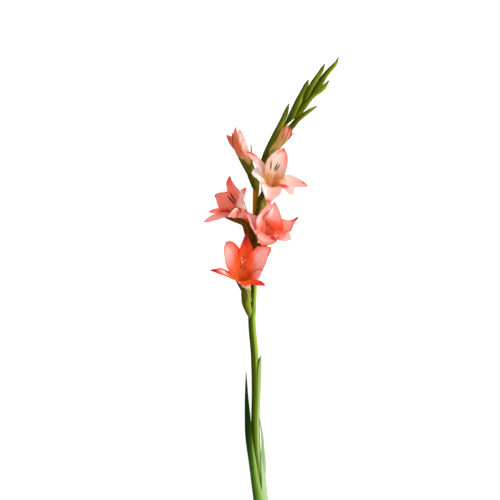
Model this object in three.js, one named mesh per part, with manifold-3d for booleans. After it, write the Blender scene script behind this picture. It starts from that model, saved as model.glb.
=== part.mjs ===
// A cut gladiolus spike that lies on its back. All lengths are in millimetres.
// X runs to the right, Y up the stem to the tip, and Z up from the surface that it lies on.
import * as THREE from "three";
import { mergeVertices } from "three/addons/utils/BufferGeometryUtils.js";
import Module from "manifold-3d";

const wasm = await Module();
wasm.setup();

// Driving dimensions
const GAP = 0.4; // clearance between pieces that touch on the plant
const PETAL_THICKNESS = 0.7;
const TUBE_WALL = 0.9;
const BRACT_THICKNESS = 0.9;
const LEAF_THICKNESS = 1.1;
const SHEATH_THICKNESS = 0.8;
const TIP_HALF_WIDTH = 0.45; // blades end in a narrow edge, not in a point
const SWELL_ACROSS = 0.05; // share that a blade widens for each millimetre of swell
const SIMPLIFY = 0.15; // how far the slivers that a union leaves may move
const TINY = 1e-4;
const NORMAL_STEP = 1e-3;

// Grid sizes
const STEM_SIDES = 8;
const STEM_RINGS = 22;
const TUBE_SIDES = 8;
const TUBE_RINGS = 4;
const HOLLOW_RINGS = 2;
const HEART_SIDES = 6;
const HEART_RINGS = 4;
const PETAL_GRID = { along: 6, across: 4 };
const BUD_PETAL_GRID = { along: 5, across: 3 };
const BRACT_GRID = { along: 6, across: 4 };
const BUD_BRACT_GRID = { along: 5, across: 3 };
const LEAF_GRID = { along: 11, across: 7 };
const THREAD_SIDES = 3;

// Colours
const GREEN = 0x6b7a16;
const DARK_GREEN = 0x2c3d10;
const PALE_GREEN = 0xa9c67c;
const OLIVE = 0x59651a;
const CORAL = 0xf0705c;
const BLUSH = 0xf6cdbf;
const ANTHER = 0x6a3038;

const vec = (p) => new THREE.Vector3(...p);
const radians = THREE.MathUtils.degToRad;
const lerp = THREE.MathUtils.lerp;
const smoothstep = THREE.MathUtils.smoothstep;
const Z = new THREE.Vector3(0, 0, 1);
const Y = new THREE.Vector3(0, 1, 0);
const X = new THREE.Vector3(1, 0, 0);

/** The part of v that is square to a unit vector, made a unit long. */
function squareTo(v, unit) {
  return v.clone().addScaledVector(unit, -v.dot(unit)).normalize();
}

/** A smooth curve through points. */
function through(points) {
  return new THREE.CatmullRomCurve3(points, false, "catmullrom", 0.5);
}

/** A unit vector at an angle in the X-Z plane: 0 to the right, 90 up from the surface. */
function aroundStem(angle) {
  return new THREE.Vector3(Math.cos(radians(angle)), 0, Math.sin(radians(angle)));
}

/** A value that runs smoothly through evenly spaced ones. */
function profile(values) {
  const curve = through(values.map((value) => new THREE.Vector3(value, 0, 0)));
  return (t) => curve.getPoint(t).x;
}

/** Six numbers of a quad's two triangles, with the diagonal from a to c, or from b to d. */
function quad(a, b, c, d, turned) {
  return turned ? [a, b, d, b, c, d] : [a, b, c, a, c, d];
}

/** The solid between rings of equal length. A blade's rings run along one face and back along the other. */
function skin(rings, isBlade) {
  const size = rings[0].length;
  const half = size / 2;
  const index = [];
  for (let i = 0; i + 1 < rings.length; i++) {
    for (let k = 0; k < size; k++) {
      const a = i * size + k;
      const b = i * size + ((k + 1) % size);
      index.push(...quad(a, b, b + size, a + size, isBlade && k >= half));
    }
  }
  const last = (rings.length - 1) * size;
  const rows = isBlade ? half - 1 : size - 2;
  for (let k = 0; k < rows; k++) {
    if (isBlade) {
      const far = size - 1 - k;
      index.push(...quad(k, far, far - 1, k + 1, false));
      index.push(...quad(last + k, last + k + 1, last + far - 1, last + far, false));
    } else {
      index.push(0, k + 2, k + 1);
      index.push(last, last + k + 1, last + k + 2);
    }
  }
  return solidFrom(rings.flat(), index);
}

/** A manifold solid from points and triangles, turned to face out. */
function solidFrom(points, index) {
  const made = (triangles) =>
    new wasm.Manifold(
      new wasm.Mesh({
        numProp: 3,
        vertProperties: new Float32Array(points.flatMap((p) => p.toArray())),
        triVerts: new Uint32Array(triangles),
      }),
    );
  const solid = made(index);
  return solid.volume() > 0 ? solid : made(index.slice().reverse());
}

/** A round or oval rod along a curve. radius(t) gives [across, toward the viewer]. */
function rod({ curve, radius, sides, rings, front = Z, swell = 0 }) {
  const made = [];
  for (let i = 0; i <= rings; i++) {
    const t = i / rings;
    const centre = curve.getPoint(t);
    const tangent = curve.getTangent(t);
    const ahead = squareTo(front, tangent);
    const right = new THREE.Vector3().crossVectors(tangent, ahead);
    const [wide, deep] = radius(t);
    const ring = [];
    for (let k = 0; k < sides; k++) {
      const angle = (2 * Math.PI * k) / sides;
      ring.push(
        centre
          .clone()
          .addScaledVector(right, (wide + swell) * Math.cos(angle))
          .addScaledVector(ahead, (deep + swell) * Math.sin(angle)),
      );
    }
    made.push(ring);
  }
  return skin(made, false);
}

/** A thin blade from its middle layer: surface(s, u), s from root to tip, u from -1 to 1 across. */
function blade({ surface, grid, thickness, swell = 0 }) {
  const rings = [];
  for (let i = 0; i <= grid.along; i++) {
    const s = i / grid.along;
    const upper = [];
    const lower = [];
    for (let j = 0; j <= grid.across; j++) {
      const u = ((2 * j) / grid.across - 1) * (1 + swell * SWELL_ACROSS);
      const normal = normalOf(surface, s, u);
      const middle = surface(s, u);
      upper.push(middle.clone().addScaledVector(normal, thickness / 2 + swell));
      lower.unshift(middle.clone().addScaledVector(normal, -thickness / 2 - swell));
    }
    rings.push([...upper, ...lower]);
  }
  return skin(rings, true);
}

/** The unit normal of surface(s, u), by small steps that stay inside it. */
function normalOf(surface, s, u) {
  const alongStep = surface(Math.min(1, s + NORMAL_STEP), u).sub(surface(Math.max(0, s - NORMAL_STEP), u));
  const acrossStep = surface(s, u + NORMAL_STEP).sub(surface(s, u - NORMAL_STEP));
  return alongStep.cross(acrossStep).normalize();
}

/** Half the width of a leaf-like blade: from the root out to its full width, then in to the tip. */
function taper(s, root, full, { widest = 0.45, blunt = 3, point = 0.95 }) {
  const body = lerp(root, full, smoothstep(s, 0, widest));
  return body * Math.pow(1 - Math.pow(s, blunt), point) + TIP_HALF_WIDTH;
}

/** The point at arc distance d from the middle of a section bent to a curvature. */
function bend(middle, lateral, inward, distance, curvature) {
  const bent = Math.abs(curvature) < TINY ? TINY : curvature;
  const angle = bent * distance;
  return middle
    .clone()
    .addScaledVector(lateral, Math.sin(angle) / bent)
    .addScaledVector(inward, (1 - Math.cos(angle)) / bent);
}

// Stem

const STEM = [
  { at: [20.5, -425.5, 8.7], radius: 5.5 },
  { at: [14.8, -352, 9.8], radius: 5.5 },
  { at: [9.3, -298, 10.9], radius: 5.5 },
  { at: [7.1, -246, 12], radius: 5.5 },
  { at: [7.7, -197, 13.2], radius: 5.5 },
  { at: [6.4, -148, 14.6], radius: 5.5 },
  { at: [2.6, -98, 16.2], radius: 5.4 },
  { at: [5.2, -56, 17.6], radius: 4.5 },
  { at: [7.2, 0, 19.4], radius: 4.4 },
  { at: [7.7, 50, 20.8], radius: 4.2 },
  { at: [9, 88, 22.4], radius: 4 },
  { at: [16, 116, 23.8], radius: 3.4 },
  { at: [29.4, 142.5, 25], radius: 3 },
  { at: [47.5, 172, 26.6], radius: 2.7 },
  { at: [66, 197, 28.2], radius: 2.3 },
  { at: [86.5, 224.5, 30], radius: 1.8 },
  { at: [105, 248, 31.6], radius: 1.2 },
];

const stemCurve = through(STEM.map((station) => vec(station.at)));
const stemRadius = profile(STEM.map((station) => station.radius));

function stem(swell = 0) {
  return rod({
    curve: stemCurve,
    radius: (t) => [stemRadius(t), stemRadius(t)],
    sides: STEM_SIDES,
    rings: STEM_RINGS,
    swell,
  });
}

/** The stem's parameter at a height Y, by halving. */
function stemAt(y) {
  let low = 0;
  let high = 1;
  for (let i = 0; i < 40; i++) {
    const middle = (low + high) / 2;
    if (stemCurve.getPoint(middle).y < y) low = middle;
    else high = middle;
  }
  return low;
}

// Leaves

/** A leaf's middle layer, from stations set out round the stem's axis. */
function leafSurface(stations) {
  const rib = through(
    stations.map(({ y, around, out }) => {
      const axis = stemCurve.getPoint(stemAt(y));
      return axis.addScaledVector(aroundStem(around), out);
    }),
  );
  const facing = profile(stations.map((station) => station.facing ?? station.around));
  const half = profile(stations.map((station) => station.half));
  const curl = profile(stations.map((station) => station.curl ?? 1 / station.out));
  return (s, u) => {
    const tangent = rib.getTangent(s);
    const inward = squareTo(aroundStem(facing(s)).negate(), tangent);
    const lateral = new THREE.Vector3().crossVectors(tangent, inward);
    return bend(rib.getPoint(s), lateral, inward, half(s) * u, curl(s));
  };
}

const LEAVES = {
  stem_sheath: {
    colour: PALE_GREEN,
    thickness: SHEATH_THICKNESS,
    clearOf: ["stem"],
    stations: [
      { y: -330, around: -20, out: 6.5, half: 9 },
      { y: -285, around: -20, out: 6.5, half: 9.5 },
      { y: -240, around: -20, out: 6.5, half: 9.6 },
      { y: -195, around: -15, out: 7, half: 9.6 },
      { y: -160, around: -5, out: 8.6, half: 8.5 },
      { y: -146, around: 10, out: 9.2, half: 0.6, curl: 0.1 },
    ],
  },
  leaf_right: {
    colour: PALE_GREEN,
    thickness: LEAF_THICKNESS,
    clearOf: ["stem_sheath"],
    stations: [
      { y: -425.5, around: 0, out: 7.6, half: 15.5 },
      { y: -391, around: 0, out: 7.6, half: 14.5 },
      { y: -352, around: 5, out: 9.6, half: 12.5, curl: 0.125 },
      { y: -320.5, around: 10, out: 10.2, facing: 22, half: 8, curl: 0.1 },
      { y: -292.5, around: 25, out: 10.8, facing: 60, half: 3.6, curl: 0.05 },
      { y: -264, around: 30, out: 11.5, facing: 70, half: 1.8, curl: 0.02 },
      { y: -236, around: 35, out: 8, facing: 70, half: 0.5, curl: 0.02 },
    ],
  },
  leaf_left: {
    colour: DARK_GREEN,
    thickness: LEAF_THICKNESS,
    clearOf: ["leaf_right"],
    stations: [
      { y: -425.5, around: 180, out: 9, half: 23 },
      { y: -391, around: 178, out: 9, half: 20.5 },
      { y: -352, around: 170, out: 9.2, half: 17 },
      { y: -316, around: 164, out: 10, facing: 160, half: 12.5, curl: 0.11 },
      { y: -279, around: 162, out: 10.5, facing: 138, half: 8.5, curl: 0.095 },
      { y: -243.5, around: 158, out: 11, facing: 112, half: 5, curl: 0.06 },
      { y: -208.6, around: 162, out: 13, facing: 100, half: 2.7, curl: 0.04 },
      { y: -171, around: 165, out: 13.2, facing: 95, half: 0.5, curl: 0.03 },
    ],
  },
};

function leaf({ stations, thickness }, swell = 0) {
  return blade({ surface: leafSurface(stations), grid: LEAF_GRID, thickness, swell });
}

// Blooms

const BLOOMS = {
  1: {
    node: -86,
    base: [-4, -76, 22],
    throat: [-6.5, -37, 45],
    axis: [-0.05, 0.75, 0.65],
    throatRadius: 12,
    tepals: [
      { angle: 148, tip: [-30.5, 11.5, 58], width: 15, blunt: 6 },
      { angle: 212, tip: [-54.6, -27.3, 70], width: 12, curl: 30 },
      { angle: 275, tip: [20.3, -48, 84], width: 12, curl: 40 },
      { angle: 330, tip: [15, -41, 70], width: 9, curl: 20 },
      { angle: 32, tip: [27.5, 4, 60], width: 14, blunt: 4 },
      { angle: 90, tip: [-4.8, 24, 56], width: 13, blunt: 2 },
    ],
    bracts: [
      { angle: 135, tip: [-19.5, -43, 32], width: 10.5 },
      { angle: 70, tip: [0.7, -47.5, 36], width: 6, start: 0.3 },
    ],
    anthers: [
      { from: [-13, -24, 58], to: [-13.5, -22, 68] },
      { from: [-11, -26, 58], to: [-11.5, -25, 68] },
      { from: [-7, -25, 58], to: [-6.5, -24, 68] },
    ],
    fork: [-10, -18, 62],
    lobes: [[-11.5, -10, 67], [-6, -13, 69], [-12, -16, 70]],
  },
  2: {
    node: 2,
    base: [3, 8, 25.5],
    throat: [-24.5, 60.5, 40],
    axis: [-0.72, 0.4, 0.57],
    throatRadius: 11,
    flare: 1.9,
    tepals: [
      { angle: 90, tip: [-28, 104, 22], width: 13 },
      { angle: 150, tip: [-50.3, 78, -0.3], width: 15 },
      { angle: 205, tip: [-57.6, 53, 30], width: 10 },
      { angle: 265, tip: [-63.7, 39, 52], width: 10, curl: 20 },
      { angle: 320, tip: [-19, 47, 66], width: 13, curl: 40 },
      { angle: 25, tip: [-5.5, 86, 67], width: 17, side: 8 },
    ],
    bracts: [
      { angle: 105, twist: 60, tip: [-36, 46, 26], width: 13 },
      { angle: 20, tip: [-9, 69, 30], width: 4, start: 0.35 },
    ],
    anthers: [
      { from: [-18.7, 65, 45.5], to: [-27.7, 78, 50] },
      { from: [-20.2, 61.5, 46], to: [-31.5, 75, 52] },
      { from: [-20, 62, 41], to: [-30, 74, 43] },
    ],
    fork: [-32, 82, 46],
    lobes: [[-35, 91, 50], [-40, 86.5, 48], [-38, 82, 54]],
  },
  3: {
    node: -26,
    base: [14, -15, 26],
    throat: [27.5, 31, 48],
    axis: [0.28, 0.38, 0.88],
    throatRadius: 13,
    tepals: [
      { angle: 62, tip: [34, 66, 56], width: 14 },
      { angle: 120, tip: [28, 67.5, 64], width: 17, side: -10 },
      { angle: 178, tip: [-8.9, 56, 60], width: 18, blunt: 2, side: -7 },
      { angle: 235, tip: [16, 6, 70], width: 16, curl: 60 },
      { angle: 298, tip: [57.6, 14.6, 42], width: 17 },
      { angle: 0, tip: [68, 47, 22], width: 19, blunt: 2.4 },
    ],
    bracts: [
      { angle: 100, tip: [10, 34, 33], width: 9 },
      { angle: 0, tip: [20, 6, 26], width: 6, start: 0.35 },
    ],
    anthers: [
      { from: [25, 33, 56], to: [23.5, 43, 64] },
      { from: [27, 33, 57], to: [27, 44, 66] },
      { from: [29, 34, 57], to: [31, 43, 66] },
    ],
    fork: [27, 43, 70],
    lobes: [[23, 47, 74], [31, 51, 75], [32, 41, 77]],
  },
  4: {
    node: 44,
    base: [15.5, 54, 26],
    throat: [32.5, 96.5, 48],
    colour: BLUSH,
    axis: [0.2, 0.45, 0.87],
    throatRadius: 11.5,
    tepals: [
      { angle: 78, tip: [46.6, 140.5, 62], width: 16, blunt: 5 },
      { angle: 132, tip: [-4.1, 134.8, 66], width: 12.5 },
      { angle: 185, tip: [2, 105.4, 54], width: 11 },
      { angle: 245, tip: [25, 66.6, 74], width: 17, curl: 20, blunt: 3 },
      { angle: 312, tip: [59, 76, 42], width: 15, curl: 20, blunt: 5 },
      { angle: 5, tip: [82.8, 91.3, -0.3], width: 12, blunt: 4 },
    ],
    bracts: [
      { angle: 150, tip: [15.5, 87, 25], width: 9 },
      { angle: 60, tip: [23, 69, 35], width: 8, start: 0.3 },
    ],
    anthers: [
      { from: [28, 108, 62], to: [29, 122, 70] },
      { from: [32, 107, 62], to: [38, 119, 70] },
      { from: [34, 107, 61], to: [41, 117, 67] },
    ],
    fork: [33, 118, 70],
    lobes: [[30, 126, 75], [36, 127, 76], [33, 121, 78]],
  },
  5: {
    node: 84,
    base: [6, 96, 27],
    throat: [-8.5, 132, 31],
    axis: [-0.42, 0.89, 0.15],
    throatRadius: 8.6,
    flare: 1.1,
    closed: true,
    tepals: [
      { angle: 90, tip: [-22, 165, 28], width: 8, curl: -25 },
      { angle: 150, tip: [-32.5, 160, 30], width: 9, curl: -20 },
      { angle: 210, tip: [-25, 163, 38], width: 8, curl: -25 },
      { angle: 270, tip: [-19, 170.5, 40], width: 10, curl: -25 },
      { angle: 330, tip: [-15, 168, 36], width: 9, curl: -25 },
      { angle: 30, tip: [-13, 160, 31], width: 10, curl: -25 },
    ],
    bracts: [
      { angle: 90, twist: 120, tip: [-22, 140, 29], width: 9 },
      { angle: 20, tip: [1.4, 147, 32], width: 3.5, start: 0.35 },
    ],
  },
  6: {
    node: 124,
    base: [27, 129, 30],
    throat: [42.5, 151, 35],
    axis: [0.55, 0.82, 0.15],
    throatRadius: 6.4,
    flare: 1,
    closed: true,
    tepals: [
      { angle: 90, tip: [52, 173, 31], width: 6, curl: -25 },
      { angle: 150, tip: [50, 172, 33], width: 6, curl: -25 },
      { angle: 210, tip: [53, 173.5, 36], width: 6, curl: -25 },
      { angle: 270, tip: [55, 173, 36], width: 6, curl: -25 },
      { angle: 330, tip: [59.5, 170, 33], width: 6, curl: -25 },
      { angle: 30, tip: [58, 168, 31], width: 6, curl: -25 },
    ],
    bracts: [
      { angle: 60, tip: [46, 144, 36], width: 6 },
      { angle: -20, tip: [62, 164, 31], width: 3, start: 0.3 },
    ],
  },
};

// Tube and tepals: places on the tube are shares of its length
const TUBE_BASE_RADIUS = 3;
const TUBE_END = 0.93;
const HOLLOW_FROM = 0.3;
const HOLLOW_PAST = 0.05; // the hollow runs past the tube's end
const TUBE_LEAVE = new THREE.Vector3(0, 1, 0.15).normalize(); // the way that it leaves the stem
const ROOT_AT = 0.84; // where the tepals join the tube
const ROOT_WRAP = 0.58; // half angle, in radians, that a tepal's root takes round it
const RIB_REACH = 0.36; // length of a rib's handles, as a share of the way from root to tip
const OPEN_STEP = 0.6; // inner and outer tepals stand this far inside and outside the tube wall
const CLOSED_STEP = 0.9;
const OPEN_FOLD = 0.015; // curvature across a tepal near its tip
const CLOSED_FOLD = 0.1;
const RUFFLE = { height: 0.8, waves: 9, lag: 1.6 }; // waved margins


// Stamens and style: where they start and leave the tube, as shares of its length
const PLUG_SPAN = [0.34, 0.42];
const PLUG_SIDES = 6;
const PLUG_EASE = 0.5; // on top of the clearance, for the flat sides of tube and plug
const THREADS_FROM = 0.4;
const THREADS_LEAVE = 0.75;
const FILAMENT_ANGLES = [150, 90, 30];
const FILAMENT_SPREAD = { low: 1.4, high: 2 };
const FILAMENT_RADII = [0.5, 0.5, 0.45, 1.1, 0.5]; // slim up to the anther, which swells
const FILAMENT_RINGS = 7;
const STYLE_RADII = [0.55, 0.5, 0.45, 0.8];
const STYLE_RINGS = 6;
const LOBE_RADII = [0.4, 0.55, 0.8];
const LOBE_RINGS = 2;

/** The middle of the tube that carries a bloom, from the stem to its throat. */
function tubeCurve({ base, throat, axis }) {
  const from = vec(base);
  const to = vec(throat);
  const reach = from.distanceTo(to) / 3;
  const start = from.clone().addScaledVector(TUBE_LEAVE, reach);
  const end = to.clone().addScaledVector(vec(axis).normalize(), -reach);
  return new THREE.CubicBezierCurve3(from, start, end, to);
}

/** The tube's outer radius at t: slim at the stem, flared at the throat. */
function tubeRadiusAt({ throatRadius, flare = 2.4 }, t) {
  return lerp(TUBE_BASE_RADIUS, throatRadius, Math.pow(t, flare));
}

/** The rod that fills a bloom's tube between two places on it, less a wall. */
function tubePart(bloom, { from, to, wall = 0, rings, swell = 0 }) {
  const curve = tubeCurve(bloom);
  const places = [...Array(rings + 1).keys()].map((i) => lerp(from, to, i / rings));
  return rod({
    curve: through(places.map((t) => curve.getPoint(t))),
    radius: (t) => Array(2).fill(tubeRadiusAt(bloom, lerp(from, to, t)) - wall),
    sides: TUBE_SIDES,
    rings,
    swell,
  });
}

/** A hollow funnel, closed at its lower end. A bud's is solid, as folded tepals fill its room. */
function tube(bloom, swell = 0) {
  const outer = tubePart(bloom, { from: 0, to: TUBE_END, rings: TUBE_RINGS, swell });
  if (swell > 0 || bloom.closed) return outer;
  const to = TUBE_END + HOLLOW_PAST;
  return outer.subtract(tubePart(bloom, { from: HOLLOW_FROM, to, wall: TUBE_WALL, rings: HOLLOW_RINGS }));
}

/** A unit vector square to the bloom's axis, at an angle counted from the picture's right to its top. */
function awayFrom(axis, angle) {
  const up = squareTo(Y, axis);
  const right = new THREE.Vector3().crossVectors(up, axis);
  return right.multiplyScalar(Math.cos(radians(angle))).addScaledVector(up, Math.sin(radians(angle)));
}

/** The curve down the middle of a tepal, with the directions that its section faces at root and tip. */
function tepalRib(bloom, { angle, tip, curl = 10, side = 0 }, layer) {
  const curve = tubeCurve(bloom);
  const axis = curve.getTangent(ROOT_AT);
  const away = awayFrom(axis, angle);
  const wallAt = (t) => {
    const radius = tubeRadiusAt(bloom, t) - TUBE_WALL / 2 + layer;
    return curve.getPoint(t).addScaledVector(away, radius);
  };
  const root = wallAt(ROOT_AT);
  const leave = wallAt(ROOT_AT + NORMAL_STEP).sub(root).normalize();
  const end = vec(tip);
  const chord = end.clone().sub(root);
  const reach = chord.length() * RIB_REACH;
  chord.normalize();
  const inwardRoot = squareTo(away.clone().negate(), leave);
  const inwardTip = squareTo(axis.clone().multiplyScalar(0.8).addScaledVector(away, -0.6), chord);
  const arrive = chord.clone().multiplyScalar(Math.cos(radians(curl)));
  arrive.addScaledVector(inwardTip, -Math.sin(radians(curl)));
  const sideways = new THREE.Vector3().crossVectors(chord, inwardTip).multiplyScalar(side);
  const rib = new THREE.CubicBezierCurve3(
    root,
    root.clone().addScaledVector(leave, reach),
    end.clone().addScaledVector(arrive, -reach).add(sideways),
    end,
  );
  return { rib, axis, centre: curve.getPoint(ROOT_AT), inwardRoot, inwardTip };
}

/** The middle layer of one tepal: it curves round the throat at its root and opens to its tip. */
function tepalSurface(bloom, tepal, layer) {
  const { rib, axis, centre, inwardRoot, inwardTip } = tepalRib(bloom, tepal, layer);
  const { angle, width, blunt = 3 } = tepal;
  const rootRadius = tubeRadiusAt(bloom, ROOT_AT);
  const fold = bloom.closed ? CLOSED_FOLD : OPEN_FOLD;
  const phase = radians(angle * 3);
  return (s, u) => {
    const tangent = rib.getTangent(s);
    const inward = squareTo(inwardRoot.clone().lerp(inwardTip, smoothstep(s, 0, 0.6)), tangent);
    const lateral = new THREE.Vector3().crossVectors(tangent, inward);
    const offset = rib.getPoint(s).sub(centre);
    const distance = Math.sqrt(Math.max(offset.lengthSq() - offset.dot(axis) ** 2, rootRadius ** 2));
    const curvature = lerp(1 / distance, fold, smoothstep(s, 0.2, 0.8));
    const half = taper(s, rootRadius * ROOT_WRAP, width, { blunt });
    const margin = RUFFLE.height * smoothstep(s, 0.2, 0.6) * Math.pow(Math.abs(u), 3);
    const wave = margin * Math.sin(RUFFLE.waves * s + phase + RUFFLE.lag * Math.sign(u));
    return bend(rib.getPoint(s), lateral, inward, half * u, curvature).addScaledVector(inward, wave);
  };
}

/** The six tepals of a bloom on their tube, every other one in the inner layer. */
function petals(bloom, swell = 0) {
  const grid = bloom.closed ? BUD_PETAL_GRID : PETAL_GRID;
  const step = bloom.closed ? CLOSED_STEP : OPEN_STEP;
  const blades = bloom.tepals.map((tepal, i) => {
    const surface = tepalSurface(bloom, tepal, i % 2 ? step : -step);
    return blade({ surface, grid, thickness: PETAL_THICKNESS, swell });
  });
  return wasm.Manifold.union([tube(bloom, swell), ...blades]);
}

/** A thin rod along a curve, its radius running through evenly spaced values. */
function thread(points, radii, rings) {
  const radius = profile(radii);
  return rod({
    curve: through(points),
    radius: (t) => [radius(t), radius(t)],
    sides: THREAD_SIDES,
    rings,
    front: X,
  });
}

/** Three filaments that end in anthers, and a style with three lobes, on a plug in the tube. */
function stamens(bloom) {
  const curve = tubeCurve(bloom);
  const room = (t) => tubeRadiusAt(bloom, t) - TUBE_WALL - GAP - PLUG_EASE;
  const plug = rod({
    curve: through(PLUG_SPAN.map((t) => curve.getPoint(t))),
    radius: (t) => Array(2).fill(room(lerp(PLUG_SPAN[0], PLUG_SPAN[1], t))),
    sides: PLUG_SIDES,
    rings: 1,
  });
  const start = curve.getPoint(THREADS_FROM);
  const inTube = curve.getPoint(THREADS_LEAVE);
  const axis = curve.getTangent(THREADS_LEAVE);
  const filaments = bloom.anthers.map(({ from, to }, i) => {
    const side = awayFrom(axis, FILAMENT_ANGLES[i]);
    const low = start.clone().addScaledVector(side, FILAMENT_SPREAD.low);
    const high = inTube.clone().addScaledVector(side, FILAMENT_SPREAD.high);
    const middle = vec(from).lerp(vec(to), 0.5);
    return thread([low, high, vec(from), middle, vec(to)], FILAMENT_RADII, FILAMENT_RINGS);
  });
  const fork = vec(bloom.fork);
  const [first, ...others] = bloom.lobes.map(vec);
  const style = thread([start, inTube, fork, first], STYLE_RADII, STYLE_RINGS);
  const lobes = others.map((end) => {
    const middle = fork.clone().lerp(end, 0.6);
    return thread([fork, middle, end], LOBE_RADII, LOBE_RINGS);
  });
  return wasm.Manifold.union([plug, ...filaments, style, ...lobes]);
}

// Bracts

const BRACT_ROOM = 1.2; // how far the outer bract stands off the tube, with the inner one between
const INNER_BRACT = { foot: 0.3, free: 1.3 }; // how far the inner bract lies inside the outer one

/** Where a bloom's bracts are centred: round the stem at the node, then round the tube. */
function bloomCore(bloom) {
  const node = stemCurve.getPoint(stemAt(bloom.node));
  const curve = tubeCurve(bloom);
  return through([node, ...[0.05, 0.3, 0.55, 0.85].map((t) => curve.getPoint(t))]);
}

/** The middle layer of a bract that wraps a core curve and then runs out to its tip. */
function bractSurface({ core, radiusAt, angle, twist = 0, tip, width, start = 0, reach = 0.75 }) {
  const placeAt = (s) => lerp(start, reach, Math.min(1, s / 0.75));
  const outward = (place) => {
    const tangent = core.getTangent(place);
    const ahead = squareTo(Z, tangent);
    const right = new THREE.Vector3().crossVectors(tangent, ahead);
    const turn = radians(angle + twist * place);
    return right.multiplyScalar(Math.cos(turn)).addScaledVector(ahead, Math.sin(turn));
  };
  const stations = [0, 0.25, 0.5, 0.75].map((s) => {
    const place = placeAt(s);
    return core.getPoint(place).addScaledVector(outward(place), radiusAt(place));
  });
  const rib = through([...stations, vec(tip)]);
  return (s, u) => {
    const place = placeAt(s);
    const tangent = rib.getTangent(s);
    const inward = squareTo(outward(place).negate(), tangent);
    const lateral = new THREE.Vector3().crossVectors(tangent, inward);
    const half = taper(s, radiusAt(start) * 1.6, width, { widest: 0.35, blunt: 3, point: 1 });
    const curvature = lerp(1 / radiusAt(place), 0.07, smoothstep(s, 0.5, 1));
    return bend(rib.getPoint(s), lateral, inward, half * u, curvature);
  };
}

/** The two bracts that clasp a bloom, joined at their foot. */
function spathe(bloom, swell = 0) {
  const core = bloomCore(bloom);
  const atNode = stemRadius(stemAt(bloom.node)) + GAP + BRACT_THICKNESS;
  const atTube = tubeRadiusAt(bloom, 0.55) + GAP + BRACT_THICKNESS + BRACT_ROOM;
  return wasm.Manifold.union(
    bloom.bracts.map((bract, i) => {
      const inside = (place) => i * lerp(INNER_BRACT.foot, INNER_BRACT.free, smoothstep(place, 0.3, 0.5));
      const radiusAt = (place) => lerp(atNode, atTube, smoothstep(place, 0, 0.5)) - inside(place);
      const surface = bractSurface({ core, radiusAt, ...bract });
      return blade({ surface, grid: BRACT_GRID, thickness: BRACT_THICKNESS, swell });
    }),
  );
}

// Green buds

const HEART_PROFILE = [0.45, 0.85, 0.95, 0.8, 0.5, 0.12]; // from foot to tip, as shares of the radius
const HEART_DEPTH = 0.85;
const BUD_BRACT_WIDTH = 1.4; // half the width of its bract, as a share of the radius

const BUDS = {
  1: {
    path: [[19.5, 127, 28], [28, 142, 29], [36, 161, 30], [46, 181, 31], [53.5, 197, 32]],
    tip: [54.5, 204, 34],
    radius: 4.5,
    facing: 110,
    clearOf: ["petals_6", "spathe_6"],
  },
  2: {
    path: [[51, 165, 25], [60, 175, 27], [69, 184, 30], [80, 192, 32], [88, 199, 33]],
    tip: [94, 201, 32],
    radius: 4,
    facing: 50,
  },
  3: {
    path: [[57, 185, 33], [65, 202, 35], [74, 220, 36], [80, 231, 35]],
    tip: [81.5, 237, 36],
    radius: 5,
    facing: 110,
    clearOf: ["bud_5"],
  },
  4: {
    path: [[66, 190, 31], [81, 210, 32], [96, 222, 33], [106, 228, 33]],
    tip: [110, 236, 34],
    radius: 5,
    facing: 70,
    clearOf: ["bud_6"],
  },
  5: {
    path: [[77, 212, 37], [86, 229, 37], [96, 244, 37], [101, 251, 36]],
    tip: [104, 259, 37],
    radius: 4,
    facing: 110,
  },
  6: {
    path: [[91, 223, 34], [103, 241, 35], [114, 254, 35], [121, 261, 35]],
    tip: [123, 268, 37],
    radius: 4,
    facing: 60,
  },
};

/** A green bud: its closed heart and the outer bract that folds round it. */
function bud({ path, tip, radius, facing }, swell = 0) {
  const core = through(path.map(vec));
  const body = profile(HEART_PROFILE);
  const heart = rod({
    curve: core,
    radius: (t) => [radius * body(t), radius * body(t) * HEART_DEPTH],
    sides: HEART_SIDES,
    rings: HEART_RINGS,
    swell,
  });
  const radiusAt = (place) => radius * lerp(0.9, body(place), 0.7);
  const width = radius * BUD_BRACT_WIDTH;
  const surface = bractSurface({ core, radiusAt, angle: facing, tip, width, reach: 0.85 });
  const bract = blade({ surface, grid: BUD_BRACT_GRID, thickness: BRACT_THICKNESS, swell });
  return wasm.Manifold.union([heart, bract]);
}

// Assembly

/** The largest body of a solid: loose scraps and sealed bubbles are dropped. */
function largest(solid) {
  return solid.decompose().sort((a, b) => b.volume() - a.volume())[0];
}

/** A named three.js mesh from a solid. */
function piece(name, solid, colour, roughness) {
  const mesh = solid.getMesh();
  const geometry = new THREE.BufferGeometry();
  geometry.setAttribute("position", new THREE.BufferAttribute(mesh.vertProperties, 3));
  geometry.setIndex(new THREE.BufferAttribute(mesh.triVerts, 1));
  const material = new THREE.MeshStandardMaterial({ color: colour, roughness, metalness: 0 });
  const made = new THREE.Mesh(mergeVertices(geometry, TINY), material);
  made.name = name;
  return made;
}

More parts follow.
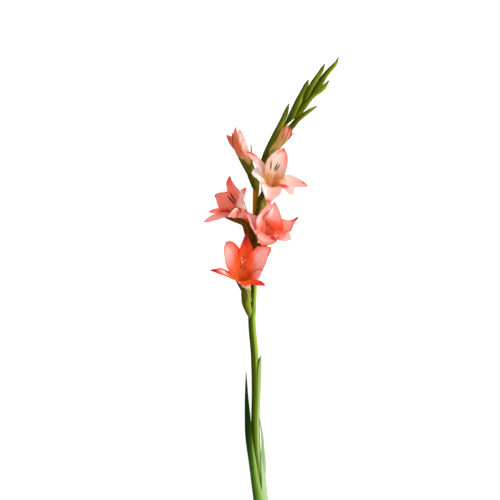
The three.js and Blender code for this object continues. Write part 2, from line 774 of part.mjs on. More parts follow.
/** Every node: how it is built, its colour and roughness, and the nodes that it is kept clear of. */
function nodes() {
  const made = { stem: { build: stem, colour: GREEN, roughness: 0.5, clearOf: [] } };
  for (const [name, spec] of Object.entries(LEAVES)) {
    made[name] = { ...spec, build: (swell) => leaf(spec, swell), roughness: 0.5 };
  }
  for (const [number, bloom] of Object.entries(BLOOMS)) {
    const petalsName = `petals_${number}`;
    const build = (swell) => petals(bloom, swell);
    made[petalsName] = { build, colour: bloom.colour ?? CORAL, roughness: 0.6, clearOf: ["stem"] };
    made[`spathe_${number}`] = {
      build: (swell) => spathe(bloom, swell),
      colour: OLIVE,
      roughness: 0.55,
      clearOf: ["stem", petalsName],
    };
    if (bloom.anthers) {
      const threads = () => stamens(bloom);
      made[`stamens_${number}`] = { build: threads, colour: ANTHER, roughness: 0.7, clearOf: [] };
    }
  }
  for (const [number, spec] of Object.entries(BUDS)) {
    const clearOf = ["stem", ...(spec.clearOf ?? [])];
    const build = (swell) => bud(spec, swell);
    made[`bud_${number}`] = { build, colour: GREEN, roughness: 0.55, clearOf };
  }
  return made;
}

/** One node as a mesh: cut clear of its neighbours, and flat where it lies on the surface. */
function assembled(all, name) {
  const { build, colour, roughness, clearOf } = all[name];
  const others = clearOf.map((other) => all[other].build(GAP));
  const cut = others.reduce((left, other) => left.subtract(other), build(0));
  const body = largest(cut.trimByPlane([0, 0, 1], 0)).simplify(SIMPLIFY);
  return piece(name, largest(body), colour, roughness);
}

const group = new THREE.Group();
const all = nodes();
for (const name of Object.keys(all)) group.add(assembled(all, name));

// The origin is the middle of the underside of the bounding box
const bounds = new THREE.Box3().setFromObject(group);
const middle = bounds.getCenter(new THREE.Vector3());
for (const mesh of group.children) mesh.geometry.translate(-middle.x, -middle.y, -bounds.min.z);

export default group;
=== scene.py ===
"""A cut gladiolus spike that lies on its back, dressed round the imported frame.

Sizes are millimetres in the picture's frame: X runs to the right, Y up the picture and Z up from the
surface toward the camera, from the point of the surface under the picture's middle. A mesh is moved into
the part's frame, and to metres, when it becomes a piece.
"""

import logging
from dataclasses import dataclass, field
from enum import Enum
from typing import Callable, Iterable, Protocol, Sequence

import bpy
import numpy as np
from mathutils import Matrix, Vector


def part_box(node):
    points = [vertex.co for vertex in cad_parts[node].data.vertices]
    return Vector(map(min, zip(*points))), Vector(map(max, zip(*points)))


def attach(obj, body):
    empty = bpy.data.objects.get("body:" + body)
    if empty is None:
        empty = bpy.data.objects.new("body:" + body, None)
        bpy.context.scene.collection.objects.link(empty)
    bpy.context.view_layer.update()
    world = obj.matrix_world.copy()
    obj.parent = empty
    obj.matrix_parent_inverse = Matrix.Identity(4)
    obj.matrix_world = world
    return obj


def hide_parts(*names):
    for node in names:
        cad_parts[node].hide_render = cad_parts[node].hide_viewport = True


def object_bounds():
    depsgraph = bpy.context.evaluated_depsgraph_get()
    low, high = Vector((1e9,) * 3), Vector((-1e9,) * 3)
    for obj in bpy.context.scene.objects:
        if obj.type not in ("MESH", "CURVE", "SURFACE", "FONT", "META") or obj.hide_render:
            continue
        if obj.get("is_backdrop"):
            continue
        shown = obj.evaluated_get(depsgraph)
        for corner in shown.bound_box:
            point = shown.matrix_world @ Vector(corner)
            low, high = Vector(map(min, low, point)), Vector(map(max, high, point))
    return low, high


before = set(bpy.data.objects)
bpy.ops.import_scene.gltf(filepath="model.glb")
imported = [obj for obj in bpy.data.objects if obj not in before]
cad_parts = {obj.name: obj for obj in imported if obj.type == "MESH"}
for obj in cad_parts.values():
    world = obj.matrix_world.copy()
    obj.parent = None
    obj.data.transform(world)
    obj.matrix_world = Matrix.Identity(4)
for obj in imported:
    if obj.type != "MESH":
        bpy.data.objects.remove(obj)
CAD_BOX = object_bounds()

Array = np.ndarray
Surface = Callable[[Array, Array], Array]
Masks = Callable[[Array, Array], dict[str, Array]]
Radii = Callable[[Array, Array], tuple[Array, Array]]
Triple = tuple[float, float, float]
Pixel = tuple[float, float]

MM = 0.001
BODY = "root"
TINY = 1e-4
STEP = 1e-3  # the step that slopes of a surface are measured with
TIP_HALF_WIDTH = 0.45  # blades end in a narrow edge, not in a point
FLOOR_GAP = 0.05  # the lowest that a blade's underside lies over the surface

log = logging.getLogger("gladiolus")


class Hue(Enum):
    """The tints that are laid over a finish's ground colour, by the name of their mask."""

    PALE = "pale"
    WARM = "warm"
    THROAT = "throat"
    WHITE = "white"
    EDGE = "edge"
    DARK = "dark"


class Slot(Enum):
    """The material slots of the part's record."""

    STEM = "stem"
    SHEATH = "sheath"
    LEAF_PALE = "leaf_pale"
    LEAF_DARK = "leaf_dark"
    CORAL = "petal_coral"
    BLUSH = "petal_blush"
    STAMEN = "stamen"
    BRACT = "bract"
    BUD = "bud"


# Arithmetic on whole arrays


def vec(numbers: object) -> Array:
    """Numbers, or rows of them, as an array of floats."""
    return np.asarray(numbers, float)


def unit(v: Array) -> Array:
    """Each vector divided by its length."""
    return v / np.linalg.norm(v, axis=-1, keepdims=True)


def dot(a: Array, b: Array) -> Array:
    """The dot products of rows of vectors, kept as a last axis of one."""
    return np.sum(a * b, axis=-1, keepdims=True)


def square_to(v: Array, axis: Array) -> Array:
    """The part of v that is square to a unit axis, made a unit long."""
    return unit(v - axis * dot(v, axis))


def lerp(a: float | Array, b: float | Array, t: float | Array) -> float | Array:
    """The value a share t of the way from a to b."""
    return a + (b - a) * t


def smoothstep(x: float | Array, low: float, high: float) -> Array:
    """0 below low, 1 above high, and 3t^2 - 2t^3 of the share t of the way between."""
    t = np.clip((vec(x) - low) / (high - low), 0, 1)
    return t * t * (3 - 2 * t)


def bell(x: Array, middle: float, half: float) -> Array:
    """A hump of height 1: e to the minus square of the distance from its middle, in half widths."""
    return np.exp(-(((x - middle) / half) ** 2))


def each(x: Array) -> Array:
    """Numbers with a last axis of one, to scale vectors with."""
    return np.asarray(x)[..., None]


X_AXIS, Y_AXIS, Z_AXIS = np.eye(3)
PAINTED_LIGHT_WAY = unit(vec([0.95, -0.1, 0.3]))  # the way of the painted light: sides that face it are coloured lighter


def painted_light_and_shade(normal: Array) -> dict[str, Array]:
    """Masks of painted light and painted shade from unit normals: lighter where a side faces the painted
    light's way, darker where it faces left.
    """
    return {"painted_light_side": smoothstep(normal @ PAINTED_LIGHT_WAY, 0.28, 0.95), "shaded": smoothstep(-normal @ X_AXIS, -0.3, 0.7)}


class Curve(Protocol):
    """Anything with points and unit tangents at t from 0 to 1."""

    def point(self, t: Array) -> Array:
        """The points at t."""

    def tangent(self, t: Array) -> Array:
        """The unit tangents at t."""


class Spline:
    """A smooth curve through points: between two of them a cubic in the share t of the way.

    Its slope at a point is half the way from the point before to the point after. Past an end, the last
    span is carried on straight.
    """

    def __init__(self, points: Sequence[Triple] | Sequence[float] | Array) -> None:
        """Takes the points, or plain numbers for a profile."""
        inner = vec(points).reshape(len(points), -1)
        self.spans = len(inner) - 1
        self.points = np.vstack([2 * inner[0] - inner[1], inner, 2 * inner[-1] - inner[-2]])

    def _terms(self, t: Array) -> tuple[Array, ...]:
        """The cubic of the span that t falls in.

        Args:
            t: places from 0 to 1.

        Returns:
            The share of the span at t, and the four terms of its cubic.
        """
        place = np.clip(vec(t), 0, 1) * self.spans
        span = np.minimum(place.astype(int), self.spans - 1)
        before, start, end, after = (self.points[span + i] for i in range(4))
        enter = (end - before) / 2
        leave = (after - start) / 2
        square = 3 * (end - start) - 2 * enter - leave
        cube = 2 * (start - end) + enter + leave
        return each(place - span), start, enter, square, cube

    def point(self, t: Array) -> Array:
        """The points at t."""
        w, start, enter, square, cube = self._terms(t)
        return start + w * (enter + w * (square + w * cube))

    def tangent(self, t: Array) -> Array:
        """The unit tangents at t."""
        w, _, enter, square, cube = self._terms(t)
        return unit(enter + w * (2 * square + 3 * w * cube))

    def value(self, t: Array) -> Array:
        """The numbers at t, for a profile."""
        return self.point(t)[..., 0]


class Bezier:
    """A cubic curve with two handles, by the sum of the four points' binomial weights."""

    def __init__(self, start: Array, leave: Array, arrive: Array, end: Array) -> None:
        """Takes the two ends and the two handles between them."""
        self.knots = vec([start, leave, arrive, end])

    def point(self, t: Array) -> Array:
        """The points at t."""
        t = each(vec(t))
        a, b, c, d = self.knots
        return a * (1 - t) ** 3 + 3 * b * t * (1 - t) ** 2 + 3 * c * t**2 * (1 - t) + d * t**3

    def tangent(self, t: Array) -> Array:
        """The unit tangents at t."""
        t = each(vec(t))
        first, second, third = np.diff(self.knots, axis=0)
        return unit(first * (1 - t) ** 2 + 2 * second * t * (1 - t) + third * t**2)


class Route:
    """A curve run along by another number: the way at t is its place on the curve."""

    def __init__(self, curve: Curve, way: Spline) -> None:
        """Takes the curve and the way."""
        self.curve = curve
        self.way = way

    def point(self, t: Array) -> Array:
        """The points at t."""
        return self.curve.point(np.clip(self.way.value(t), 0, 1))

    def tangent(self, t: Array) -> Array:
        """The curve's own tangents at t, also on the way back."""
        return self.curve.tangent(np.clip(self.way.value(t), 0, 1))


def bend(middle: Array, lateral: Array, inward: Array, distance: Array, curvature: Array) -> Array:
    """Points at an arc distance from the middle of a section that is bent to a curvature.

    With angle = curvature times distance, a point lies sin(angle) / curvature to the side and
    (1 - cos(angle)) / curvature inward.

    Args:
        middle: points on the rib.
        lateral: unit vectors across the blade.
        inward: unit vectors toward the centre of the bend.
        distance: signed distances across.
        curvature: one over the radius of the bend.

    Returns:
        The bent points.
    """
    curve = np.where(np.abs(curvature) < TINY, TINY, curvature)
    angle = curve * distance
    return middle + lateral * each(np.sin(angle) / curve) + inward * each((1 - np.cos(angle)) / curve)


def taper(
    s: Array, root: float, full: float, widest: float = 0.45, blunt: float = 3, point: float = 0.95
) -> Array:
    """Half the width of a leaf-like blade, out from its root and then in to its tip.

    It is the root's width led smoothly to the full one, times (1 - s^blunt)^point, plus the tip's own.

    Args:
        s: places from root to tip.
        root: half the width at the root.
        full: half the width at the widest place.
        widest: where the full width is reached.
        blunt: the higher, the nearer to the tip it narrows.
        point: below 1 a rounded tip, above 1 a drawn-out one.

    Returns:
        Half widths.
    """
    body = lerp(root, full, smoothstep(s, 0, widest))
    return body * (1 - np.clip(s, 0, 1) ** blunt) ** point + TIP_HALF_WIDTH


PIXEL = 1.4  # millimetres that a pixel of the 500 pixel picture spans at the middle height of the plant
CAMERA_HEIGHT = 1966.0
MIDDLE_HEIGHT = 22.0


def seen_at(pixels: Array, height: Array) -> Array:
    """The points at given heights that the camera sees at given pixels, each a column and a row."""
    # A pixel spans its size times (camera height - height) / (camera height - middle height).
    spread = PIXEL * (CAMERA_HEIGHT - height) / (CAMERA_HEIGHT - MIDDLE_HEIGHT)
    return np.stack([(pixels[:, 0] - 250) * spread, (250 - pixels[:, 1]) * spread, height], axis=1)


# Meshes as arrays


@dataclass
class Skin:
    """A closed mesh as arrays.

    Attributes:
        points: one row a point, in millimetres.
        corners: the point at each corner of each face.
        sizes: how many corners each face has.
        uv: one row a corner, across and along from 0 to 1.
        masks: for each mask one number a point.
        finish_of: for each face the number of its finish.
        flat: for each face whether it is shaded flat.
    """

    points: Array
    corners: Array
    sizes: Array
    uv: Array
    masks: dict[str, Array]
    finish_of: Array
    flat: Array


@dataclass(frozen=True)
class Grid:
    """How many cells a blade or rod has along and across, or round."""

    along: int
    across: int


def blade(surface: Surface, grid: Grid, thickness: Surface, masks: Masks) -> Skin:
    """A thin closed blade on both sides of a middle layer.

    The two faces stand half the thickness off the layer along its unit normal, which is the cross
    product of its slopes along and across, and a strip of quads joins them at all four edges. No point
    lies lower than FLOOR_GAP.

    Args:
        surface: the layer's points at s from root to tip and u from -1 to 1 across.
        grid: the number of cells.
        thickness: the thickness at s and u.
        masks: the masks at s and u.

    Returns:
        The skin, its outer face first. Its root's edge is shaded flat.
    """
    rows, columns = grid.along + 1, grid.across + 1
    s, u = np.meshgrid(np.linspace(0, 1, rows), np.linspace(-1, 1, columns), indexing="ij")
    layer = surface(s, u)
    slope_s = surface(np.minimum(s + STEP, 1), u) - surface(np.maximum(s - STEP, 0), u)
    slope_u = surface(s, u + STEP) - surface(s, u - STEP)
    normal = unit(np.cross(slope_s, slope_u))
    half = each(thickness(s, u) / 2)
    outer = (layer + normal * half).reshape(-1, 3)
    inner = (layer - normal * half).reshape(-1, 3)
    inner[:, 2] = np.maximum(inner[:, 2], FLOOR_GAP)
    outer[:, 2] = np.maximum(outer[:, 2], FLOOR_GAP)
    number = np.arange(rows * columns).reshape(rows, columns)
    under = number + rows * columns
    cell = [number[:-1, :-1], number[1:, :-1], number[1:, 1:], number[:-1, 1:]]
    below = [part + rows * columns for part in cell]
    strips = [
        cell,
        below[::-1],
        [number[0, :-1], number[0, 1:], under[0, 1:], under[0, :-1]],
        [number[-1, :-1], under[-1, :-1], under[-1, 1:], number[-1, 1:]],
        [number[:-1, 0], under[:-1, 0], under[1:, 0], number[1:, 0]],
        [number[:-1, -1], number[1:, -1], under[1:, -1], under[:-1, -1]],
    ]
    quads = np.vstack([np.stack([part.ravel() for part in strip], axis=1) for strip in strips])
    flat_uv = np.stack([(u.ravel() + 1) / 2, s.ravel()], axis=1)
    made = {name: np.tile(value.ravel(), 2) for name, value in masks(s, u).items()}
    made["outside"] = np.repeat([1.0, 0.0], rows * columns)
    # painted light and painted shade on both faces, by the way each one points
    made.update(painted_light_and_shade(np.vstack([normal.reshape(-1, 3), -normal.reshape(-1, 3)])))
    corners = quads.ravel()
    root_end = np.arange(len(quads)) - 2 * grid.along * grid.across
    return Skin(
        np.vstack([outer, inner]),
        corners,
        np.full(len(quads), 4),
        np.vstack([flat_uv, flat_uv])[corners],
        made,
        np.zeros(len(quads), int),
        (root_end >= 0) & (root_end < grid.across),
    )


def rod(
    curve: Curve,
    radius: Radii,
    grid: Grid,
    front: Array = Z_AXIS,
    masks: Masks | None = None,
    span: tuple[float, float] = (0.0, 1.0),
) -> Skin:
    """A closed rod along a curve, with a flat end face at both ends.

    At a place t and an angle a round it, a point lies wide times cos(a) to the right of the curve and
    deep times sin(a) toward the front.

    Args:
        curve: the curve down its middle.
        radius: the two radii, wide and deep, at t and a.
        grid: the number of cells along and round.
        front: the way that the front of the section faces.
        masks: the masks at t and a.
        span: the part of the curve that it covers.

    Returns:
        The skin. The faces at its ends have the finish number 1.
    """
    rows, sides = grid.along + 1, grid.across
    share, angle = np.meshgrid(
        np.linspace(0, 1, rows), np.linspace(0, 2 * np.pi, sides, endpoint=False), indexing="ij"
    )
    t = lerp(span[0], span[1], share)
    tangent = curve.tangent(t)
    ahead = square_to(np.broadcast_to(front, tangent.shape), tangent)
    right = np.cross(tangent, ahead)
    wide, deep = radius(share, angle)
    points = curve.point(t) + right * each(wide * np.cos(angle)) + ahead * each(deep * np.sin(angle))
    number = np.arange(rows * sides).reshape(rows, sides)
    following = np.roll(number, -1, axis=1)
    cell = [number[:-1], number[1:], following[1:], following[:-1]]
    quads = np.stack([part.ravel() for part in cell], axis=1)
    turn = np.tile(np.arange(sides) / sides, rows - 1)
    low = np.repeat(np.arange(rows - 1) / grid.along, sides)
    across = np.stack([turn, turn, turn + 1 / sides, turn + 1 / sides], axis=1)
    along = np.stack([low, low + 1 / grid.along, low + 1 / grid.along, low], axis=1)
    ring = 0.5 + 0.5 * np.stack([np.cos(angle[0]), np.sin(angle[0])], axis=1)
    made = {} if masks is None else {n: v.ravel() for n, v in masks(share, angle).items()}
    # painted light and painted shade round the rod, by the way each side points
    made.update(painted_light_and_shade((right * each(np.cos(angle)) + ahead * each(np.sin(angle))).reshape(-1, 3)))
    ends = np.repeat([0, 1], [len(quads), 2])
    return Skin(
        points.reshape(-1, 3),
        np.concatenate([quads.ravel(), number[0], number[-1][::-1]]),
        np.where(ends > 0, sides, 4),
        np.vstack([np.stack([across.ravel(), along.ravel()], axis=1), ring, ring[::-1]]),
        made,
        ends,
        ends > 0,
    )


# Shader graphs

NUMBER = "NodeSocketFloat"
VECTOR = "NodeSocketVector"


class Graph:
    """Adds nodes to a node tree and links them."""

    def __init__(self, tree: bpy.types.NodeTree) -> None:
        """Takes the tree of a material or of a node group."""
        self.tree = tree

    def put(self, socket: bpy.types.NodeSocket, value: object) -> None:
        """Links a value that is a socket, and sets any other.

        Args:
            socket: the input that takes it.
            value: a socket or a plain value.
        """
        if isinstance(value, bpy.types.NodeSocket):
            self.tree.links.new(value, socket)
        else:
            socket.default_value = value

    def add(
        self, kind: str, inputs: dict[str | int, object] | None = None, **settings: object
    ) -> bpy.types.Node:
        """A node with its settings, and its inputs linked or set.

        Args:
            kind: the node's type.
            inputs: values or sockets by the name or number of the input.
            **settings: the node's own properties.

        Returns:
            The node.
        """
        node = self.tree.nodes.new(kind)
        for name, value in settings.items():
            setattr(node, name, value)
        for key, value in (inputs or {}).items():
            self.put(node.inputs[key], value)
        return node

    def math(self, operation: str, a: object, b: object = 0.0) -> bpy.types.NodeSocket:
        """The result of arithmetic on one or two numbers."""
        return self.add("ShaderNodeMath", {0: a, 1: b}, operation=operation).outputs[0]

    def times(self, a: object, b: object) -> bpy.types.NodeSocket:
        """The product of two numbers."""
        return self.math("MULTIPLY", a, b)

    def clamp(self, value: object) -> bpy.types.NodeSocket:
        """A number held between 0 and 1."""
        return self.add("ShaderNodeClamp", {"Value": value}).outputs[0]

    def span(
        self, value: object, low: float, high: float, start: object = 0.0, end: object = 1.0
    ) -> bpy.types.NodeSocket:
        """A number taken from one range to another, held at its ends."""
        inputs = {"Value": value, "From Min": low, "From Max": high, "To Min": start, "To Max": end}
        return self.add("ShaderNodeMapRange", inputs).outputs[0]

    def mix(self, factor: object, a: object, b: object) -> bpy.types.NodeSocket:
        """A colour between two colours."""
        return self.add("ShaderNodeMix", {0: factor, 6: a, 7: b}, data_type="RGBA").outputs[2]

    def noise(
        self, vector: object, scale: object, detail: float = 3.0, rough: float = 0.6
    ) -> bpy.types.NodeSocket:
        """Smooth noise about 0.5."""
        inputs = {"Vector": vector, "Scale": scale, "Detail": detail, "Roughness": rough}
        return self.add("ShaderNodeTexNoise", inputs).outputs[0]

    def parts(self, vector: object) -> Sequence[bpy.types.NodeSocket]:
        """A vector's three numbers."""
        return self.add("ShaderNodeSeparateXYZ", {0: vector}).outputs

    def vector(self, x: object, y: object) -> bpy.types.NodeSocket:
        """A vector whose third number is 0."""
        return self.add("ShaderNodeCombineXYZ", {0: x, 1: y}).outputs[0]

    def group(self, tree: bpy.types.NodeTree, inputs: dict[str, object]) -> bpy.types.NodeSocket:
        """The first output of a node group placed with its own values."""
        return self.add("ShaderNodeGroup", inputs, node_tree=tree).outputs[0]

    def mask(self, name: str) -> bpy.types.NodeSocket:
        """A mask that the mesh carries as an attribute."""
        return self.add("ShaderNodeAttribute", attribute_name=name).outputs["Fac"]

    def uv(self) -> bpy.types.NodeSocket:
        """The place on the piece's own UV map."""
        return self.add("ShaderNodeUVMap", uv_map="UVMap").outputs[0]

    def place(self) -> bpy.types.NodeSocket:
        """The place in the object's own space."""
        return self.add("ShaderNodeTexCoord").outputs["Object"]

    def bump(self, strength: float, distance: float, height: object) -> bpy.types.NodeSocket:
        """The normal of a relief of a height, at most a distance high in metres."""
        inputs = {"Strength": strength, "Distance": distance, "Height": height}
        return self.add("ShaderNodeBump", inputs).outputs[0]

    def surface(self, inputs: dict[str, object]) -> None:
        """A principled shader with its inputs, led to the material's output."""
        shader = self.add("ShaderNodeBsdfPrincipled", inputs)
        self.add("ShaderNodeOutputMaterial", {"Surface": shader.outputs[0]})


def blank_material(name: str) -> tuple[bpy.types.Material, Graph]:
    """A new material with no nodes yet.

    Args:
        name: its name.

    Returns:
        The material and its graph.
    """
    made = bpy.data.materials.new(name)
    made.use_nodes = True
    made.node_tree.nodes.clear()
    return made, Graph(made.node_tree)


def linear(code: str) -> tuple[float, float, float, float]:
    """A colour such as "e8b0a0" as the linear numbers that shaders take, with alpha 1.

    Each channel c, as a share of 255, becomes ((c + 0.055) / 1.055)^2.4, or c / 12.92 where it is dark.
    """
    shares = [int(code[i : i + 2], 16) / 255 for i in (0, 2, 4)]
    red, green, blue = (((c + 0.055) / 1.055) ** 2.4 if c > 0.04045 else c / 12.92 for c in shares)
    return red, green, blue, 1.0


class Effects:
    """The node groups that several finishes share, each built once."""

    def __init__(self) -> None:
        """Builds the groups."""
        self.lines = self._lines()
        self.streaks = self._streaks()
        self.patches = self._patches()
        self.ragged = self._ragged()

    @staticmethod
    def _group(
        name: str, inputs: dict[str, str], output: str
    ) -> tuple[bpy.types.NodeTree, Graph, dict, object]:
        """An empty group with its sockets.

        Args:
            name: the group's name.
            inputs: the kind of each input socket by its name.
            output: the name of the output, a number.

        Returns:
            The group, its graph, its inputs' sockets by name and the socket that takes the result.
        """
        tree = bpy.data.node_groups.new(name, "ShaderNodeTree")
        for label, kind in inputs.items():
            tree.interface.new_socket(label, in_out="INPUT", socket_type=kind)
        tree.interface.new_socket(output, in_out="OUTPUT", socket_type=NUMBER)
        graph = Graph(tree)
        given = graph.add("NodeGroupInput").outputs
        result = graph.add("NodeGroupOutput").inputs[0]
        return tree, graph, {label: given[label] for label in inputs}, result

    def _lines(self) -> bpy.types.NodeTree:
        """Fine veins along a blade: cosine lines across it that wander and come and go along it."""
        inputs = {"UV": VECTOR, "Count": NUMBER, "Wander": NUMBER}
        tree, graph, given, result = self._group("vein_lines", inputs, "Lines")
        across, along, _ = graph.parts(given["UV"])
        slow = graph.vector(graph.times(across, 3.0), along)
        drift = graph.math("SUBTRACT", graph.noise(slow, 2.5, 2.0, 0.55), 0.5)
        strayed = graph.math("ADD", across, graph.times(drift, given["Wander"]))
        turns = graph.times(graph.times(strayed, given["Count"]), 2 * np.pi)
        sharp = graph.math("POWER", graph.span(graph.math("COSINE", turns), -1.0, 1.0), 2.5)
        strip = graph.vector(graph.times(strayed, given["Count"]), graph.times(along, 5.0))
        share = graph.span(graph.noise(strip, 1.0), 0.35, 0.7)
        graph.put(result, graph.times(sharp, share))
        return tree

    def _streaks(self) -> bpy.types.NodeTree:
        """Long soft streaks along a blade: noise that is drawn out along it, taken to 0 and 1."""
        tree, graph, given, result = self._group("long_streaks", {"UV": VECTOR, "Count": NUMBER}, "Streaks")
        across, along, _ = graph.parts(given["UV"])
        strip = graph.vector(graph.times(across, given["Count"]), graph.times(along, 2.5))
        graph.put(result, graph.span(graph.noise(strip, 1.0), 0.42, 0.68))
        return tree

    def _patches(self) -> bpy.types.NodeTree:
        """Uneven tone over a surface: noise in the object's own place, taken to 0 and 1 at two levels."""
        inputs = {"Place": VECTOR, "Scale": NUMBER, "Low": NUMBER, "High": NUMBER}
        tree, graph, given, result = self._group("tone_patches", inputs, "Amount")
        noise = graph.noise(given["Place"], given["Scale"], 4.0)
        levels = {"Value": noise, "From Min": given["Low"], "From Max": given["High"]}
        graph.put(result, graph.add("ShaderNodeMapRange", levels, interpolation_type="SMOOTHSTEP").outputs[0])
        return tree

    def _ragged(self) -> bpy.types.NodeTree:
        """A mask whose soft border is broken up: mask + amount * (noise - 0.5) * 4 * mask * (1 - mask)."""
        inputs = {"Mask": NUMBER, "Noise": NUMBER, "Amount": NUMBER}
        tree, graph, given, result = self._group("ragged_border", inputs, "Mask")
        rest = graph.math("SUBTRACT", 1.0, given["Mask"])
        border = graph.times(graph.times(given["Mask"], rest), 4.0)
        change = graph.times(graph.math("SUBTRACT", given["Noise"], 0.5), given["Amount"])
        graph.put(result, graph.clamp(graph.math("ADD", given["Mask"], graph.times(border, change))))
        return tree


# Finishes

TONE_LEVELS = {"Low": 0.35, "High": 0.65}  # the noise between which uneven tone comes in
GRAIN_FINENESS = 5  # grain is this much finer than the patches of tone
GRAIN_RELIEF = 0.8  # its height in the relief, beside the veins'
RAGGED = 0.7  # how far a tint's border is broken up
RELIEF_STRENGTH = 0.6


@dataclass(frozen=True)
class Finish:
    """A plant surface: a ground colour, tints laid over it by mask, veins, uneven tone, gloss and relief.

    Attributes:
        name: the material's name.
        ground: the colour under everything.
        shade: the colour that uneven tone leads to.
        vein: the colour of the veins.
        tints: colours by their masks, laid on in this order.
        vein_count: veins across the blade.
        vein_share: how strong the veins are.
        wander: how far the veins stray, as a share of the width.
        streak_count: how many long streaks fit across.
        streak_share: how strong they are, in the veins' colour.
        patch_size: how many patches of tone fit in a metre.
        patch_share: how strong the patches are.
        gloss: the roughness of the smoothest and of the dullest places.
        depth: how far light enters, as the shader's subsurface weight.
        glow: the distance that red, green and blue light travels inside, in metres.
        relief: how high the veins and cells stand, in metres.
        shine: how strongly the surface mirrors light, as the shader's specular level.
    """

    name: str
    ground: str
    shade: str
    vein: str
    tints: dict[str, str] = field(default_factory=dict)
    vein_count: float = 18.0
    vein_share: float = 0.25
    wander: float = 0.05
    streak_count: float = 9.0
    streak_share: float = 0.1
    patch_size: float = 90.0
    patch_share: float = 0.35
    gloss: tuple[float, float] = (0.42, 0.6)
    depth: float = 0.0
    glow: Triple = (0.001, 0.0005, 0.0004)
    relief: float = 0.00015
    shine: float = 0.25

    def material(self, effects: Effects) -> bpy.types.Material:
        """The finish as a material.

        Args:
            effects: the shared node groups.

        Returns:
            The material.
        """
        made, graph = blank_material(self.name)
        uv = graph.uv()
        place = graph.place()
        veins = graph.group(effects.lines, {"UV": uv, "Count": self.vein_count, "Wander": self.wander})
        tone = graph.group(effects.patches, {"Place": place, "Scale": self.patch_size, **TONE_LEVELS})
        grain = graph.noise(place, self.patch_size * GRAIN_FINENESS, 4.0, 0.65)
        colour = graph.mix(graph.times(tone, self.patch_share), linear(self.ground), linear(self.shade))
        for mask, tint in self.tints.items():
            border = {"Mask": graph.mask(mask), "Noise": grain, "Amount": RAGGED}
            colour = graph.mix(graph.group(effects.ragged, border), colour, linear(tint))
        streaks = graph.group(effects.streaks, {"UV": uv, "Count": self.streak_count})
        colour = graph.mix(graph.times(streaks, self.streak_share), colour, linear(self.vein))
        colour = graph.mix(graph.times(veins, self.vein_share), colour, linear(self.vein))
        height = graph.math("ADD", veins, graph.times(grain, GRAIN_RELIEF))
        graph.surface(
            {
                "Base Color": colour,
                "Roughness": graph.span(tone, 0.0, 1.0, *self.gloss),
                "Subsurface Weight": self.depth,
                "Subsurface Radius": self.glow,
                "Subsurface Scale": 1.0,
                "Specular IOR Level": self.shine,
                "Normal": graph.bump(RELIEF_STRENGTH, self.relief, height),
            }
        )
        return made


@dataclass(frozen=True)
class CutFinish:
    """The cut across the stem: a pale wet pith with the darker ends of its vessels, and a green rind."""

    name: str = "cut_pith"
    pith: str = "d9dca6"
    vessel: str = "8f9a4c"
    rind: str = "5d7320"

    def material(self, effects: Effects) -> bpy.types.Material:
        """The finish as a material.

        Args:
            effects: the shared node groups.

        Returns:
            The material.
        """
        made, graph = blank_material(self.name)
        middle = (0.5, 0.5, 0.0)
        from_middle = graph.add("ShaderNodeVectorMath", {0: graph.uv(), 1: middle}, operation="DISTANCE")
        edge = graph.span(from_middle.outputs["Value"], 0.4, 0.48)
        levels = {"Scale": 900.0, "Low": 0.55, "High": 0.68}
        spots = graph.group(effects.patches, {"Place": graph.place(), **levels})
        colour = graph.mix(graph.times(spots, 0.8), linear(self.pith), linear(self.vessel))
        colour = graph.mix(edge, colour, linear(self.rind))
        dull = graph.span(spots, 0.0, 1.0, 0.35, 0.6)
        graph.surface({"Base Color": colour, "Roughness": dull, "Normal": graph.bump(0.5, 0.0002, spots)})
        return made


def petal(*colours: str | dict[str, str], **own: object) -> Finish:
    """A petal's finish, from its name, colours and other values: few soft veins, and light enters it."""
    usual = {"vein_count": 15.0, "wander": 0.04, "patch_size": 70.0, "patch_share": 0.3}
    return Finish(*colours, **(usual | {"gloss": (0.45, 0.62), "depth": 0.4, "relief": 0.0002} | own))


def green(*colours: str | dict[str, str], **own: object) -> Finish:
    """A stem's, leaf's or bract's finish: straight veins and a dull skin."""
    return Finish(
        *colours, **({"wander": 0.01, "streak_share": 0.3, "gloss": (0.5, 0.65), "shine": 0.03} | own)
    )


def thread(*colours: str, **own: object) -> Finish:
    """A filament's, style's or stigma's finish: small, with light that enters it."""
    return Finish(
        *colours, **({"patch_size": 400.0, "vein_count": 3.0, "vein_share": 0.3, "depth": 0.3} | own)
    )


CORAL = petal(
    "petal_coral", "f4806c", "f2705a", "d8483a",
    {"outside": "f9a999", "pale": "fcb8b0", "warm": "f85818", "throat": "ee700e", "white": "fff0ea",
     "edge": "ea2f1c", "dark": "860806"},
    vein_share=0.22,
)
BLUSH = petal(
    "petal_blush", "ecc8be", "e6b6a8", "e5998c",
    {"outside": "fadfd7", "pale": "ecdac8", "warm": "e8847a", "throat": "d9984a", "white": "fceae3",
     "edge": "ee2c14", "dark": "9c1414"},
)
BUD_CORAL = petal(
    "petal_bud", "e88a66", "da724a", "c05030",
    {"outside": "ee9a7c", "pale": "f8cfbf", "warm": "cc5c34", "throat": "b49650", "white": "fdece4",
     "edge": "e0503a", "dark": "8c2410"},
    vein_share=0.3, streak_count=6.0, streak_share=0.4,
)
# its shaded and lit-side tints are painted shade and painted light on the stem's sides
STEM_GREEN = green(
    "stem_green", "465202", "364101", "5a7208",
    {"leafy": "4b7406", "fresh": "66780a", "shaded": "1f2a01", "painted_light_side": "a2c24a", "dry": "b87e0c",
     "deep": "2d3403"},
    vein_count=26.0, vein_share=0.3, depth=0.05,
)
# its shaded and lit-side tints are painted shade and painted light on the sheath's sides
SHEATH_GREEN = green(
    "sheath_pale", "94b054", "84a244", "70943a",
    {"fresh": "b4cc84", "shaded": "6c8e2e", "painted_light_side": "adbf82", "dry": "b59a5c", "deep": "74982a"},
    vein_count=24.0, vein_share=0.45, streak_share=0.25, gloss=Finish.gloss, depth=0.1, shine=0.08,
)
